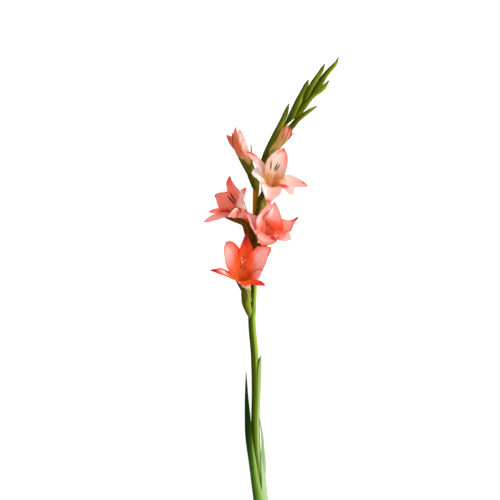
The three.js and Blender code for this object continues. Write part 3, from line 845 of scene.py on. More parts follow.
# its lit-side tint is painted light on the sides that face the light
LEAF_FRESH = green(
    "leaf_fresh", "9fc082", "86ac58", "729a42",
    {"fresh": "b0cc98", "painted_light_side": "b2cc9c", "dry": "b08a4c", "deep": "4c6a22"},
    vein_count=26.0, vein_share=0.5, gloss=Finish.gloss, depth=0.1, shine=0.08,
)
LEAF_DARK = green(
    "leaf_dark", "0e2a02", "081e01", "244606",
    {"fresh": "6a9a28", "dry": "b48a5a", "deep": "6d3c10", "rim": "a9cc70"},
    vein_count=26.0, vein_share=0.45,
)
# its shaded and lit-side tints are painted shade and painted light on the bracts' sides
BRACT_GREEN = green(
    "bract_olive", "434c02", "333902", "6c7010",
    {"fresh": "9aa83a", "shaded": "272c01", "painted_light_side": "9aa82a", "dry": "6a2c02", "deep": "200f02",
     "rim": "d8d8a4"},
    vein_count=20.0, vein_share=0.35, streak_count=7.0, streak_share=0.35,
)
# its shaded and lit-side tints are painted shade and painted light on the buds' sides; its deep tint is
# painted shade low on the buds, where they leave the stem
BUD_GREEN = green(
    "bud_green", "3c4c02", "2c3a01", "607206",
    {"fresh": "6c8c0a", "shaded": "263401", "painted_light_side": "bcd63a", "dry": "6b420c", "deep": "1c2601",
     "rim": "98a838"},
    vein_count=18.0, vein_share=0.35, streak_count=6.0, streak_share=0.35,
)
ANTHER_PURPLE = Finish(
    "anther_purple", "46141a", "2c0a10", "74363a",
    vein_count=4.0, vein_share=0.35, wander=0.02, patch_size=900.0, patch_share=0.8, gloss=(0.6, 0.85),
    relief=0.0003,
)
THREAD_CORAL = thread("thread_coral", "ea7450", "d65a36", "b83c1e")
THREAD_CREAM = thread("thread_cream", "f6e2c4", "ecca98", "dcae78")
STIGMA_PALE = thread("stigma_pale", "fbdcd6", "f0b4ac", "e09a92", patch_size=500.0, patch_share=0.6)


def add_object(name: str, data: object) -> bpy.types.Object:
    """A new object of the scene that holds a mesh, a camera or a light."""
    made = bpy.data.objects.new(name, data)
    bpy.context.scene.collection.objects.link(made)
    return made


class Workshop:
    """Turns skins into pieces of the scene: it knows the part's frame and keeps the materials."""

    def __init__(self, offset: Array) -> None:
        """Takes the way from the picture's frame to the part's, in millimetres."""
        self.offset = offset
        self.effects = Effects()
        self.materials: dict[str, bpy.types.Material] = {}

    def material(self, finish: Finish | CutFinish) -> bpy.types.Material:
        """A finish's material, made the first time that it is asked for."""
        if finish.name not in self.materials:
            self.materials[finish.name] = finish.material(self.effects)
        return self.materials[finish.name]

    def piece(
        self, name: str, skin: Skin, finishes: Sequence[Finish | CutFinish], node: str, slot: Slot
    ) -> None:
        """Makes a skin a piece that stands for a node of the part.

        Args:
            name: the piece's name.
            skin: its mesh.
            finishes: its finishes, by the number that each face has.
            node: the node that it replaces.
            slot: the record's material slot; it is not used.
        """
        mesh = bpy.data.meshes.new(name)
        mesh.vertices.add(len(skin.points))
        mesh.vertices.foreach_set("co", ((skin.points + self.offset) * MM).astype(np.float32).ravel())
        mesh.loops.add(len(skin.corners))
        mesh.loops.foreach_set("vertex_index", skin.corners.astype(np.int32))
        mesh.polygons.add(len(skin.sizes))
        starts = np.concatenate([[0], np.cumsum(skin.sizes)[:-1]])
        mesh.polygons.foreach_set("loop_start", starts.astype(np.int32))
        numbers = np.minimum(skin.finish_of, len(finishes) - 1)
        mesh.polygons.foreach_set("material_index", numbers.astype(np.int32))
        mesh.update(calc_edges=True)
        mesh.polygons.foreach_set("use_smooth", ~skin.flat)
        mesh.uv_layers.new(name="UVMap").data.foreach_set("uv", skin.uv.astype(np.float32).ravel())
        for mask, values in skin.masks.items():
            attribute = mesh.attributes.new(mask, "FLOAT", "POINT")
            attribute.data.foreach_set("value", np.clip(values, 0, 1).astype(np.float32))
        for finish in finishes:
            mesh.materials.append(self.material(finish))
        made = add_object(name, mesh)
        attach(made, BODY)
        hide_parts(node)
        log.info("%s: %d faces, for %s", name, len(skin.sizes), node)


# The stem


@dataclass
class Stem:
    """The stem, from its cut foot to the buds at its tip.

    Attributes:
        stations: points down its middle, each with the stem's radius there.
        nodes: heights where a bloom's bracts leave it.
    """

    stations: Sequence[tuple[Triple, float]] = (
        ((20.5, -425.5, 8.7), 5.5), ((14.8, -352, 9.8), 5.5), ((9.3, -298, 10.9), 5.5),
        ((7.1, -246, 12), 5.5), ((7.7, -197, 13.2), 5.5), ((6.4, -148, 14.6), 5.5), ((2.6, -98, 16.2), 5.4),
        ((5.2, -56, 17.6), 4.5), ((7.2, 0, 19.4), 4.4), ((7.7, 50, 20.8), 4.2), ((9, 88, 22.4), 4),
        ((16, 116, 23.8), 3.4), ((29.4, 142.5, 25), 3), ((47.5, 172, 26.6), 2.7), ((66, 197, 28.2), 2.3),
        ((86.5, 224.5, 30), 1.8), ((105, 248, 31.6), 1.2),
    )
    nodes: Sequence[float] = (-86, -26, 2, 44, 84, 124)
    grid: Grid = Grid(420, 40)
    cad_grid: Grid = Grid(22, 8)
    ridges: int = 7
    ridge_height: float = 0.13
    node_swell: float = 0.35
    node_length: float = 5.0

    def __post_init__(self) -> None:
        """Works out the curve, the radius and the height along it."""
        self.curve = Spline([at for at, _ in self.stations])
        self.radius = Spline([radius for _, radius in self.stations])
        self._places = np.linspace(0, 1, 4001)
        self._heights = self.curve.point(self._places)[:, 1]

    def at(self, height: float) -> float:
        """The place on the stem's curve at a height."""
        return float(np.interp(height, self._heights, self._places))

    def offset(self) -> Array:
        """The way from the picture's frame to the part's, in millimetres.

        It is the corner of the part's own stem less the corner of the same plain rod worked out here.
        """
        plain = rod(self.curve, lambda t, a: (self.radius.value(t), self.radius.value(t)), self.cad_grid)
        return vec(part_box("stem")[0]) / MM - plain.points.min(axis=0)

    def _radius(self, t: Array, angle: Array) -> tuple[Array, Array]:
        """The stem's radius: its profile, with shallow ridges and a swelling at each node.

        Args:
            t: places along the stem.
            angle: angles round it.

        Returns:
            The radius, twice.
        """
        height = np.interp(t, self._places, self._heights)
        swell = sum(bell(height, node, self.node_length) for node in self.nodes)
        twist = self.ridges * angle + 9 * t
        radius = self.radius.value(t) - self.ridge_height * (1 + np.cos(twist)) / 2
        radius = radius + self.node_swell * swell * smoothstep(t, 0.3, 0.35)
        return radius, radius

    def _masks(self, t: Array, angle: Array) -> dict[str, Array]:
        """The stem's masks: leafy green low down, brown between the middle blooms, deep at the nodes.

        Args:
            t: places along the stem.
            angle: angles round it.

        Returns:
            The masks.
        """
        height = np.interp(t, self._places, self._heights)
        brown = smoothstep(height, -20, 20) * (1 - smoothstep(height, 85, 110))
        deep = sum(bell(height, node + 4, 7.0) for node in self.nodes)
        fresh = 0.4 * (0.5 + 0.5 * np.cos(2 * angle + 5 * t)) * (1 - brown)
        leafy = 1 - smoothstep(height, -260, -160)
        return {"fresh": fresh, "dry": 0.9 * brown, "deep": 0.3 * deep, "leafy": 0.9 * leafy}

    def build(self, shop: Workshop) -> None:
        """Makes the stem's piece, with its cut end."""
        skin = rod(self.curve, self._radius, self.grid, masks=self._masks)
        shop.piece("stem", skin, [STEM_GREEN, CutFinish()], "stem", Slot.STEM)


# Leaves


@dataclass(frozen=True)
class LeafStation:
    """A leaf's section at a height: where it lies round the stem, how far out, and its half width.

    Attributes:
        y: the height.
        around: the angle round the stem, 0 to the right and 90 up from the surface.
        out: the distance from the stem's middle.
        half: half the leaf's width.
        facing: the angle that it faces, if not the one that it lies at.
        curl: its curvature across, if it doesn't wrap the stem.
    """

    y: float
    around: float
    out: float
    half: float
    facing: float | None = None
    curl: float | None = None


def sections(*rows: tuple[float, ...]) -> tuple[LeafStation, ...]:
    """A leaf's stations, each from its values in order."""
    return tuple(LeafStation(*row) for row in rows)


def around_stem(angle: Array) -> Array:
    """Unit vectors at angles in the plane across the stem."""
    turn = np.radians(vec(angle))
    return np.stack([np.cos(turn), np.zeros_like(turn), np.sin(turn)], axis=-1)


@dataclass
class LeafBlade:
    """A leaf or sheath that clasps the stem, with parallel veins that stand up from it.

    Attributes:
        name: the piece and the node.
        stations: its sections from foot to tip.
        thickness: the thickness at its middle.
        finish: its finish.
        slot: its material slot.
        dry_from: the place from which its tip is dry.
        rim: how deep the colour of its two margins is, at u -1 and at u 1.
        shaded: how deep its colour grows toward the margin at u 1.
        fresh: how much lighter its lower half grows toward the margin at u -1.
        foot: how much lighter its foot is.
        grid: its cells.
        ribs: how many ribs stand up on each half.
        rib_height: how high they stand.
        margin: the thickness at its margins.
    """

    name: str
    stations: Sequence[LeafStation]
    thickness: float
    finish: Finish
    slot: Slot
    dry_from: float = 0.97
    rim: tuple[float, float] = (0.3, 0.3)
    shaded: float = 0.0
    fresh: float = 0.0
    foot: float = 0.0
    grid: Grid = Grid(200, 32)
    ribs: int = 11
    rib_height: float = 0.16
    margin: float = 0.35

    def _surface(self, stem: Stem) -> Surface:
        """The middle layer: each section is an arc of its curl about its rib, raised in parallel ribs.

        Args:
            stem: the stem that it clasps.

        Returns:
            The surface.
        """
        places = [stem.curve.point(stem.at(p.y)) + around_stem(p.around) * p.out for p in self.stations]
        rib = Spline(places)
        facing = Spline([p.around if p.facing is None else p.facing for p in self.stations])
        half = Spline([p.half for p in self.stations])
        curl = Spline([1 / p.out if p.curl is None else p.curl for p in self.stations])

        def surface(s: Array, u: Array) -> Array:
            """The bent section with its ribs, keel and wavy margins, which fade where it is narrow."""
            tangent = rib.tangent(s)
            inward = square_to(-around_stem(facing.value(s)), tangent)
            lateral = np.cross(tangent, inward)
            width = half.value(s)
            flat = bend(rib.point(s), lateral, inward, width * u, curl.value(s))
            fade = np.clip(width / 6, 0, 1)
            lines = np.cos(np.pi * self.ribs * u) * self.rib_height / 2
            keel = 0.5 * bell(u, 0, 0.06)
            wave = 0.3 * np.sin(14 * s + 1.5 * u) * smoothstep(np.abs(u), 0.5, 1)
            return flat - inward * each((lines + keel + wave) * fade)

        return surface

    def _masks(self, s: Array, u: Array) -> dict[str, Array]:
        """The leaf's masks: a dry tip, deep margins, a lighter lower half and fresh tones in long bands.

        Args:
            s: places from foot to tip.
            u: places across, from -1 to 1.

        Returns:
            The masks.
        """
        left = smoothstep(-u, 0.88, 1.0) * self.rim[0] * (1 - self.fresh * (1 - smoothstep(s, 0.55, 0.65)))
        right = smoothstep(u, 0.88, 1.0) * self.rim[1]
        tip = smoothstep(s, self.dry_from, min(1.0, self.dry_from + 0.04))
        bands = 0.5 + 0.5 * np.sin(5 * u + 9 * s) * np.cos(3 * s + 1)
        bands = bands * (1 - self.fresh * smoothstep(s, 0.4, 0.6))
        low = self.foot * (1 - smoothstep(s, 0.3, 0.75))
        lighter = self.fresh * (1 - smoothstep(s, 0.35, 0.8)) * smoothstep(-u, 0.0, 1.0)
        deep = left + right + self.shaded * smoothstep(u, 0.1, 0.95) * (1 - low)
        rim = self.fresh * (1 - smoothstep(s, 0.5, 0.66)) * smoothstep(-u, 0.55, 1.0)
        return {"dry": tip, "deep": deep, "fresh": 0.35 * bands + lighter + low, "rim": rim}

    def _thickness(self, s: Array, u: Array) -> Array:
        """Full at the middle, thinning to the margins."""
        return lerp(self.thickness * 0.75, self.margin, np.abs(u) ** 3)

    def build(self, stem: Stem, shop: Workshop) -> None:
        """Makes the leaf's piece."""
        skin = blade(self._surface(stem), self.grid, self._thickness, self._masks)
        shop.piece(self.name, skin, [self.finish], self.name, self.slot)


# Blooms


@dataclass(frozen=True)
class Mark:
    """A soft oval of one hue on a tepal: strength times a hump along times a hump across.

    Attributes:
        hue: what it is laid on with.
        s: its middle along the tepal.
        u: its middle across, from -1 to 1.
        long: its half length.
        wide: its half width.
        strength: its strength, past 1 for a flat top.
    """

    hue: Hue
    s: float
    u: float
    long: float
    wide: float
    strength: float = 1.0

    def on(self, s: Array, u: Array) -> Array:
        """The mark's strength at s and u."""
        return self.strength * bell(s, self.s, self.long) * bell(u, self.u, self.wide)


@dataclass(frozen=True)
class Tepal:
    """One of a bloom's six tepals.

    Attributes:
        angle: where it stands round the bloom's axis, from the picture's right to its top.
        tip: where its tip is.
        width: half its width.
        blunt: how near to its tip it keeps its width.
        curl: how far its tip turns back, in degrees.
        side: how far its rib swings aside.
        widest: where it reaches its full width.
        left: where the picture shows its edge at u -1, at every fifth of its length from the first on.
        right: the same for its edge at u 1.
        lift: how far the two edges stand nearer the camera halfway up, in millimetres.
        rim: how red its margins are, at u -1 and at u 1.
        tipped: how red its tip is.
        pale: how pale its middle is: partly its own colour, partly a painted highlight where light falls on
            it.
        warm: how much orange its lower half has: partly its own colour, partly painted shade.
        marks: its own marks.
    """

    angle: float
    tip: Triple
    width: float
    blunt: float = 3
    curl: float = 10
    side: float = 0
    widest: float = 0.45
    left: tuple[Pixel, ...] = ()
    right: tuple[Pixel, ...] = ()
    lift: tuple[float, float] = (0, 0)
    rim: tuple[float, float] = (0.7, 0.7)
    tipped: float = 1
    pale: float = 0
    warm: float = 0
    marks: tuple[Mark, ...] = ()


@dataclass(frozen=True)
class Bract:
    """One of the two bracts that clasp a bloom.

    Attributes:
        angle: where it stands round the bloom's tube.
        tip: where its tip is.
        width: half its width.
        twist: how far it winds round the tube, in degrees.
        start: where it starts on the tube.
        reach: where it leaves the tube.
        dry: how brown it is.
        fresh: how pale it is.
        fresh_to: how far up it is pale.
        deep: how dark its lower half is.
        rim: how pale its margins are.
        clasp: how far its foot goes round to each side, in radians.
    """

    angle: float
    tip: Triple
    width: float
    twist: float = 0
    start: float = 0
    reach: float = 0.75
    dry: float = 0.1
    fresh: float = 0.2
    fresh_to: float = 2
    deep: float = 0.2
    rim: float = 0.5
    clasp: float = 1.6


@dataclass(frozen=True)
class TepalRelief:
    """The small shape of every tepal, in millimetres.

    Attributes:
        root: thickness at the root, inside the tube's wall.
        thick: thickness at the middle.
        thin: thickness at the margin.
        ruffle: height of the slow waves along the margins.
        waves: how many radians of them there are along a tepal.
        lag: how many radians each margin's waves lie from the middle's.
        crimp: height of the fine waves at the margins.
        crimps: how many radians of them there are along a tepal.
        pleat: height of the folds that run from root to tip.
        pleats: number of them.
        groove: depth of the midrib's groove.
    """

    root: float = 0.3
    thick: float = 0.5
    thin: float = 0.25
    ruffle: float = 0.8
    waves: float = 9
    lag: float = 1.6
    crimp: float = 0.3
    crimps: float = 46
    pleat: float = 0.16
    pleats: float = 5
    groove: float = 0.45


TUBE_FOOT = 3.0  # radius of a bloom's tube at the stem
TUBE_LEAVE = unit(vec([0.0, 1.0, 0.15]))  # the way that it leaves the stem
TUBE_RIM = 0.87  # where the tube ends, as a share of its way to the throat
WALL = 0.6  # thickness of the tube's wall, which thins to its rim
WALL_MIDDLE = 0.3  # the tepals' roots lie this far inside the tube
TUBE_FLOOR = 0.3  # where its hollow starts
ROOT_AT = 0.84  # where the tepals join the tube
ROOT_WRAP = 0.58  # half angle, in radians, that a tepal's root takes round it
CUP = 0.62  # half angle, in radians, that a tepal's lower half takes round the bloom's axis
RIB_REACH = 0.36  # how far the handles of a tepal's rib reach, as a share of its length
EDGE_STEPS = 5  # a tepal's edges are given at this many places
OPEN_STEP = 0.6  # inner and outer tepals stand this far inside and outside the tube wall
CLOSED_STEP = 0.9  # the same in a closed bud
OPEN_FOLD = 0.015  # a tepal's curvature across at its tip
CLOSED_FOLD = 0.1  # the same in a closed bud
THREADS_FROM = 0.4  # the place in the tube that filaments and style run through
THREADS_LEAVE = 0.75  # and the place that they spread from
FILAMENT_ANGLES = (150.0, 90.0, 30.0)
FILAMENT_SPREAD = (1.4, 2.0)  # how far they stand from the tube's middle, low and high
FILAMENT_IN_ANTHER = 0.25  # how far a filament runs on inside its anther, as a share of it
FILAMENT_RADII = (0.45, 0.38, 0.32, 0.28, 0.26)
STYLE_RADII = (0.5, 0.4, 0.32, 0.3)
LOBE_RADII = (0.28, 0.42, 0.62, 0.45)
ANTHER_SAG = 0.5  # how far an anther's middle stands up from the line between its ends
GAP = 0.4  # between stem or tube and bract
BRACT_THICKNESS = 0.9
BRACT_ROOM = 1.2  # how much wider a bract stands round the tube
INNER_BRACT = (0.3, 1.3)  # how far the inner bract lies inside the outer one, at its foot and higher up
FOOT_INSET = 1.7  # a bract's foot lies this much closer, where it grows out of the stem
FOOT_DOWN = 8.0  # and this much lower than where the bract leaves it


@dataclass
class Bloom:
    """A bloom or a coloured bud: its tube, six tepals, stamens, style and two bracts.

    Attributes:
        number: its number from the foot of the stem up.
        node: the height at which its bracts leave the stem.
        base: where its tube leaves the stem.
        throat: the middle of its throat.
        axis: the way that its throat faces.
        throat_radius: the tube's radius there.
        tepals: its tepals, every other one in the inner layer.
        bracts: its outer and inner bract.
        flare: how late the tube widens.
        closed: whether its tepals are still folded.
        throat_depth: how deep the throat's own colour is.
        throat_reach: how far up the tepals it runs.
        throat_warm: how orange the throat is, up to the tepals' roots.
        throat_pale: how pale it is there.
        throat_lines: how strong the dark lines in it are.
        tube_brown: the place on the tube up to which its outside is orange-brown.
        finish: the finish of its tepals.
        thread: the finish of its filaments and style.
        slot: the tepals' material slot.
        anthers: each anther's two ends, first the one that its filament meets.
        fork: where its style parts.
        lobes: the ends of the stigma's three lobes.
        anther_radius: half an anther's width.
        relief: the small shape of its tepals.
        grid: a tepal's cells.
        bract_grid: a bract's cells.
    """

    number: int
    node: float
    base: Triple
    throat: Triple
    axis: Triple
    throat_radius: float
    tepals: Sequence[Tepal]
    bracts: Sequence[Bract]
    flare: float = 2.4
    closed: bool = False
    anthers: Sequence[tuple[Triple, Triple]] = ()
    fork: Triple | None = None
    lobes: Sequence[Triple] = ()
    throat_depth: float = 1.0
    throat_reach: float = 0.3
    throat_warm: float = 0.6
    throat_pale: float = 0.0
    throat_lines: float = 0.2
    tube_brown: float = 0.3
    finish: Finish = CORAL
    thread: Finish = THREAD_CORAL
    slot: Slot = Slot.CORAL
    anther_radius: float = 0.9
    relief: TepalRelief = TepalRelief()
    grid: Grid = Grid(84, 44)
    bract_grid: Grid = Grid(90, 30)

    def __post_init__(self) -> None:
        """Works out the curve down the middle of the tube."""
        start, end = vec(self.base), vec(self.throat)
        reach = np.linalg.norm(end - start) / 3
        self.curve = Bezier(start, start + TUBE_LEAVE * reach, end - unit(vec(self.axis)) * reach, end)
        self.root_axis = self.curve.tangent(ROOT_AT)

    def tube_radius(self, t: float | Array) -> float | Array:
        """The tube's outer radius: slim at the stem, flared at the throat by a power of the way."""
        return lerp(TUBE_FOOT, self.throat_radius, np.clip(t, 0, None) ** self.flare)

    @staticmethod
    def away(axis: Array, angle: float) -> Array:
        """A way out from an axis.

        Args:
            axis: the unit axis.
            angle: the angle round it, from the picture's right to its top, in degrees.

        Returns:
            The unit vector, square to the axis.
        """
        up = square_to(Y_AXIS, axis)
        right = np.cross(up, axis)
        turn = np.radians(angle)
        return right * np.cos(turn) + up * np.sin(turn)

    def _rib(self, tepal: Tepal) -> tuple[Bezier, Array, Array]:
        """The curve down the middle of a tepal.

        It leaves the tube's wall along it and arrives at the tip turned back by the curl.

        Args:
            tepal: the tepal.

        Returns:
            The curve, and the unit vectors that its section faces at the root and at the tip.
        """
        away = self.away(self.root_axis, tepal.angle)

        def wall(t: float) -> Array:
            """A point inside the tube's wall."""
            return self.curve.point(t) + away * (self.tube_radius(t) - WALL_MIDDLE)

        root = wall(ROOT_AT)
        leave = unit(wall(ROOT_AT + STEP) - root)
        end = vec(tepal.tip)
        reach = np.linalg.norm(end - root) * RIB_REACH
        chord = unit(end - root)
        inward_root = square_to(-away, leave)
        inward_tip = square_to(self.root_axis * 0.8 - away * 0.6, chord)
        turn = np.radians(tepal.curl)
        arrive = chord * np.cos(turn) - inward_tip * np.sin(turn)
        aside = np.cross(chord, inward_tip) * tepal.side
        return Bezier(root, root + leave * reach, end - arrive * reach + aside, end), inward_root, inward_tip

    def _tepal_surface(self, tepal: Tepal, layer: float) -> Surface:
        """The middle layer of a tepal.

        Each section is an arc: at the root it goes round the throat, and it opens toward the tip. The
        lower half is as wide as its share of the way round the axis, so that the six make a cup. Slow
        waves grow toward the margins with the cube of u, fine ones with its eighth power, and folds
        that run from root to tip stand up from it with the midrib's groove between them.

        Args:
            tepal: the tepal.
            layer: how far it comes to stand outside the middle of the tube's wall.

        Returns:
            The surface.
        """
        rib, inward_root, inward_tip = self._rib(tepal)
        root_radius = self.tube_radius(ROOT_AT)
        centre = self.curve.point(ROOT_AT)
        fold = CLOSED_FOLD if self.closed else OPEN_FOLD
        phase = np.radians(tepal.angle * 3)
        relief = self.relief

        def surface(s: Array, u: Array) -> Array:
            """The bent section with its waves and folds."""
            tangent = rib.tangent(s)
            facing = lerp(inward_root, inward_tip, each(smoothstep(s, 0, 0.6)))
            inward = square_to(facing, tangent)
            lateral = np.cross(tangent, inward)
            offset = rib.point(s) - centre
            across = np.sum(offset**2, axis=-1) - dot(offset, self.root_axis)[..., 0] ** 2
            distance = np.sqrt(np.maximum(across, root_radius**2))
            curvature = lerp(1 / distance, fold, smoothstep(s, 0.25, 0.85))
            half = taper(s, root_radius * ROOT_WRAP, tepal.width, widest=tepal.widest, blunt=tepal.blunt)
            cup = np.minimum(distance * CUP, tepal.width) * (1 - smoothstep(s, 0.3, 0.6))
            half = np.maximum(half, cup)
            edge = np.abs(u)
            side = np.clip(u / 0.05, -1, 1)
            small = np.minimum(1, half / 14)
            slow = relief.ruffle * small * smoothstep(s, 0.2, 0.6) * edge**3
            wave = slow * np.sin(relief.waves * s + phase + relief.lag * side)
            fine = relief.crimp * small * smoothstep(s, 0.3, 0.55) * edge**8
            wave = wave + fine * np.sin(relief.crimps * s + 5 * np.sin(7 * s + phase) + 2 * side)
            rise = smoothstep(s, 0.05, 0.3) * (1 - smoothstep(s, 0.75, 1))
            pleat = relief.pleat * rise * np.cos(np.pi * relief.pleats * u) * (1 - edge**4)
            groove = relief.groove * rise * bell(u, 0, 0.07)
            raised = wave + pleat - groove - layer * smoothstep(s, 0.04, 0.3)
            return bend(rib.point(s), lateral, inward, half * u, curvature) + inward * each(raised)

        left = self._edge_shift(surface, -1.0, tepal.left, tepal.lift[0])
        right = self._edge_shift(surface, 1.0, tepal.right, tepal.lift[1])

        def moved(s: Array, u: Array) -> Array:
            """The surface with its two edges moved to where the picture shows them."""
            return surface(s, u) + left.point(s) * each((1 - u) / 2) + right.point(s) * each((1 + u) / 2)

        return moved

    @staticmethod
    def _edge_shift(surface: Surface, side: float, seen: tuple[Pixel, ...], lift: float) -> Spline:
        """How far an edge is moved so that it is seen where the picture has it.

        Args:
            surface: the tepal before it is moved.
            side: -1 or 1, the edge's u.
            seen: where the picture shows the edge at every fifth of its length, from the first on.
            lift: how far it is moved up halfway along.

        Returns:
            The shift along the tepal; it is nothing at the root.
        """
        places = np.linspace(0, 1, EDGE_STEPS + 1)
        shift = np.zeros((EDGE_STEPS + 1, 3))
        if seen:
            shown = slice(1, 1 + len(seen))
            now = surface(places, np.full(EDGE_STEPS + 1, side))[shown]
            height = now[:, 2] + lift * np.sin(np.pi * places[shown])
            shift[shown] = seen_at(vec(seen), height) - now
        return Spline(shift)

    def _tepal_masks(self, tepal: Tepal) -> Masks:
        """The masks of a tepal: throat, warm lower half, pale middle, red margins and tip, and its marks.

        Args:
            tepal: the tepal.

        Returns:
            The function that gives the masks at s and u.
        """

        def masks(s: Array, u: Array) -> dict[str, Array]:
            """The masks at s and u; over the root the bloom's own throat takes the place of the tepal's."""
            uneven = 0.02 * np.sin(31 * s + 3 * tepal.angle) + 0.015 * np.sin(57 * s + tepal.angle)
            low_side = smoothstep(-u + uneven, 0.8, 1.0) * tepal.rim[0]
            high_side = smoothstep(u + uneven, 0.8, 1.0) * tepal.rim[1]
            along = smoothstep(s, 0.2, 0.5)
            deep = 1 - smoothstep(s + 0.04 * np.cos(9 * u), 0.0, self.throat_reach)
            middle = bell(s, 0.55, 0.3) * (1 - smoothstep(np.abs(u), 0.45, 0.95))
            tip = tepal.tipped * smoothstep(s, 0.84, 0.98)
            lines = np.clip(np.cos(8 * np.pi * u), 0, 1) ** 2 * bell(s, 0.14, 0.12)
            lines = lines * (0.5 + 0.5 * np.sin(17 * u + tepal.angle))
            found = {
                Hue.WARM: tepal.warm * (1 - smoothstep(s, 0.3, 0.75)),
                Hue.PALE: tepal.pale * middle,
                Hue.WHITE: np.zeros_like(s),
                Hue.EDGE: np.maximum(np.maximum(low_side, high_side) * along, tip),
                Hue.DARK: 0.6 * tepal.tipped * smoothstep(s, 0.95, 1.0) + self.throat_lines * lines,
                Hue.THROAT: np.zeros_like(s),
            }
            for mark in tepal.marks:
                found[mark.hue] = found[mark.hue] + mark.on(s, u)
            own = smoothstep(s, 0.0, 0.16)
            found[Hue.WARM] = lerp(self.throat_warm, found[Hue.WARM], own)
            found[Hue.PALE] = lerp(self.throat_pale, found[Hue.PALE], own)
            found[Hue.WHITE] = found[Hue.WHITE] * own
            found[Hue.THROAT] = found[Hue.THROAT] * own + self.throat_depth * deep
            return {hue.value: values for hue, values in found.items()}

        return masks

    def _tepal_thickness(self, s: Array, u: Array) -> Array:
        """Full at the middle, thin at the margins."""
        body = lerp(self.relief.root, self.relief.thick, smoothstep(s, 0, 0.1))
        return lerp(body, self.relief.thin, np.abs(u) ** 2 * smoothstep(s, 0, 0.1))

    def _tube(self) -> Skin:
        """The funnel: a wall out to its rim and back down inside to the hollow's floor.

        One rod does it, whose curve runs up the tube and back down. The radius is the tube's on the way
        up, and that less the wall on the way down, with six faint lobes in line with the tepals.

        Returns:
            The funnel's skin.
        """
        floor = 0.02 if self.closed else TUBE_FLOOR
        up, down = np.linspace(0, TUBE_RIM, 48), np.linspace(TUBE_RIM, floor, 32)
        places = np.concatenate([up, down])
        thinned = 0.9 * WALL_MIDDLE * smoothstep(places, 0.8, TUBE_RIM)
        wall = Spline(np.where(np.arange(len(places)) < len(up), thinned, WALL - thinned))
        way = Spline(places)
        shift = np.radians(self.tepals[0].angle)

        def radius(share: Array, angle: Array) -> tuple[Array, Array]:
            """The tube's radius less the wall, with its lobes."""
            t = way.value(share)
            lobes = 1 + 0.02 * np.cos(6 * (angle - shift)) * smoothstep(t, 0.3, 0.8)
            size = (self.tube_radius(t) - wall.value(share)) * lobes
            return size, size

        def masks(share: Array, angle: Array) -> dict[str, Array]:
            """Brown to green low down outside, and inside the throat's colours, with a darker colour deep in
            the hollow.
            """
            t = way.value(share)
            inside = smoothstep(share, 0.5, 0.56)
            brown = 1 - smoothstep(t, self.tube_brown - 0.1, self.tube_brown + 0.1)
            tepal_like = np.ones_like(t) if self.closed else inside
            return {
                "outside": 1 - inside,
                Hue.THROAT.value: lerp(brown, self.throat_depth, tepal_like),
                Hue.WARM.value: self.throat_warm * tepal_like,
                Hue.PALE.value: lerp(0.5, self.throat_pale, tepal_like),
                # darker deep in the hollow
                Hue.DARK.value: inside * (1 - smoothstep(t, 0.35, 0.6)) * 0.4 * self.throat_depth,
            }

        return rod(Route(self.curve, way), radius, Grid(78, 48), masks=masks)

    def _core(self, stem: Stem) -> Spline:
        """The curve that the bracts are centred on: in the stem under the node, then round the tube."""
        first = stem.curve.point(stem.at(self.node - FOOT_DOWN))
        return Spline(np.vstack([first, self.curve.point([0.05, 0.3, 0.55, 0.85])]))

    def _bract(self, stem: Stem, bract: Bract, inner: bool) -> Skin:
        """One of the two bracts.

        Args:
            stem: the stem that its foot clasps.
            bract: the bract.
            inner: whether it lies inside the other.

        Returns:
            The bract's skin.
        """
        at_node = stem.radius.value(stem.at(self.node)) + GAP + BRACT_THICKNESS
        at_tube = self.tube_radius(0.55) + GAP + BRACT_THICKNESS + BRACT_ROOM

        def radius_at(place: float | Array) -> float | Array:
            """How far it stands from the core: close at its foot, then round the stem, then the tube."""
            inside = lerp(*INNER_BRACT, smoothstep(place, 0.3, 0.5)) if inner else 0.0
            foot = FOOT_INSET * (1 - smoothstep(place, 0, 0.2))
            return lerp(at_node, at_tube, smoothstep(place, 0, 0.5)) - inside - foot

        surface = bract_surface(self._core(stem), radius_at, bract)
        return blade(surface, self.bract_grid, bract_thickness, bract_masks(bract))

    @staticmethod
    def _thread(
        points: Sequence[Array], radii: Sequence[float], grid: Grid = Grid(48, 10), flat: float = 1.0
    ) -> Skin:
        """A thin rod through points, its radius led through evenly spaced radii, its depth a share of it."""
        size = Spline(radii)
        return rod(Spline(points), lambda t, a: (size.value(t), size.value(t) * flat), grid, front=X_AXIS)

    def _anther(self, root: Array, end: Array) -> Skin:
        """An anther: two long lobes with a furrow between them, closed in at both ends.

        The radius goes with the square root of sin(pi t), less a furrow where the angle faces the front
        or the back.

        Args:
            root: the end that its filament meets.
            end: its far end.

        Returns:
            The anther's skin.
        """
        sag = (root + end) / 2 + ANTHER_SAG * Z_AXIS

        def radius(t: Array, angle: Array) -> tuple[Array, Array]:
            """The two radii, a little flat, with the furrows."""
            body = np.sqrt(np.clip(np.sin(np.pi * lerp(0.04, 0.96, t)), 0, 1))
            furrow = 1 - 0.45 * np.abs(np.sin(angle)) ** 6
            return self.anther_radius * body * furrow, 0.8 * self.anther_radius * body * furrow

        return rod(Spline([root, sag, end]), radius, Grid(36, 24))

    def _build_threads(self, shop: Workshop) -> None:
        """Makes the filaments, anthers and style, on the floor of the tube's hollow.

        Args:
            shop: what makes the pieces.
        """

        def piece(name: str, skin: Skin, finish: Finish) -> None:
            """Makes a piece of the stamens' node."""
            shop.piece(name, skin, [finish], f"stamens_{self.number}", Slot.STAMEN)

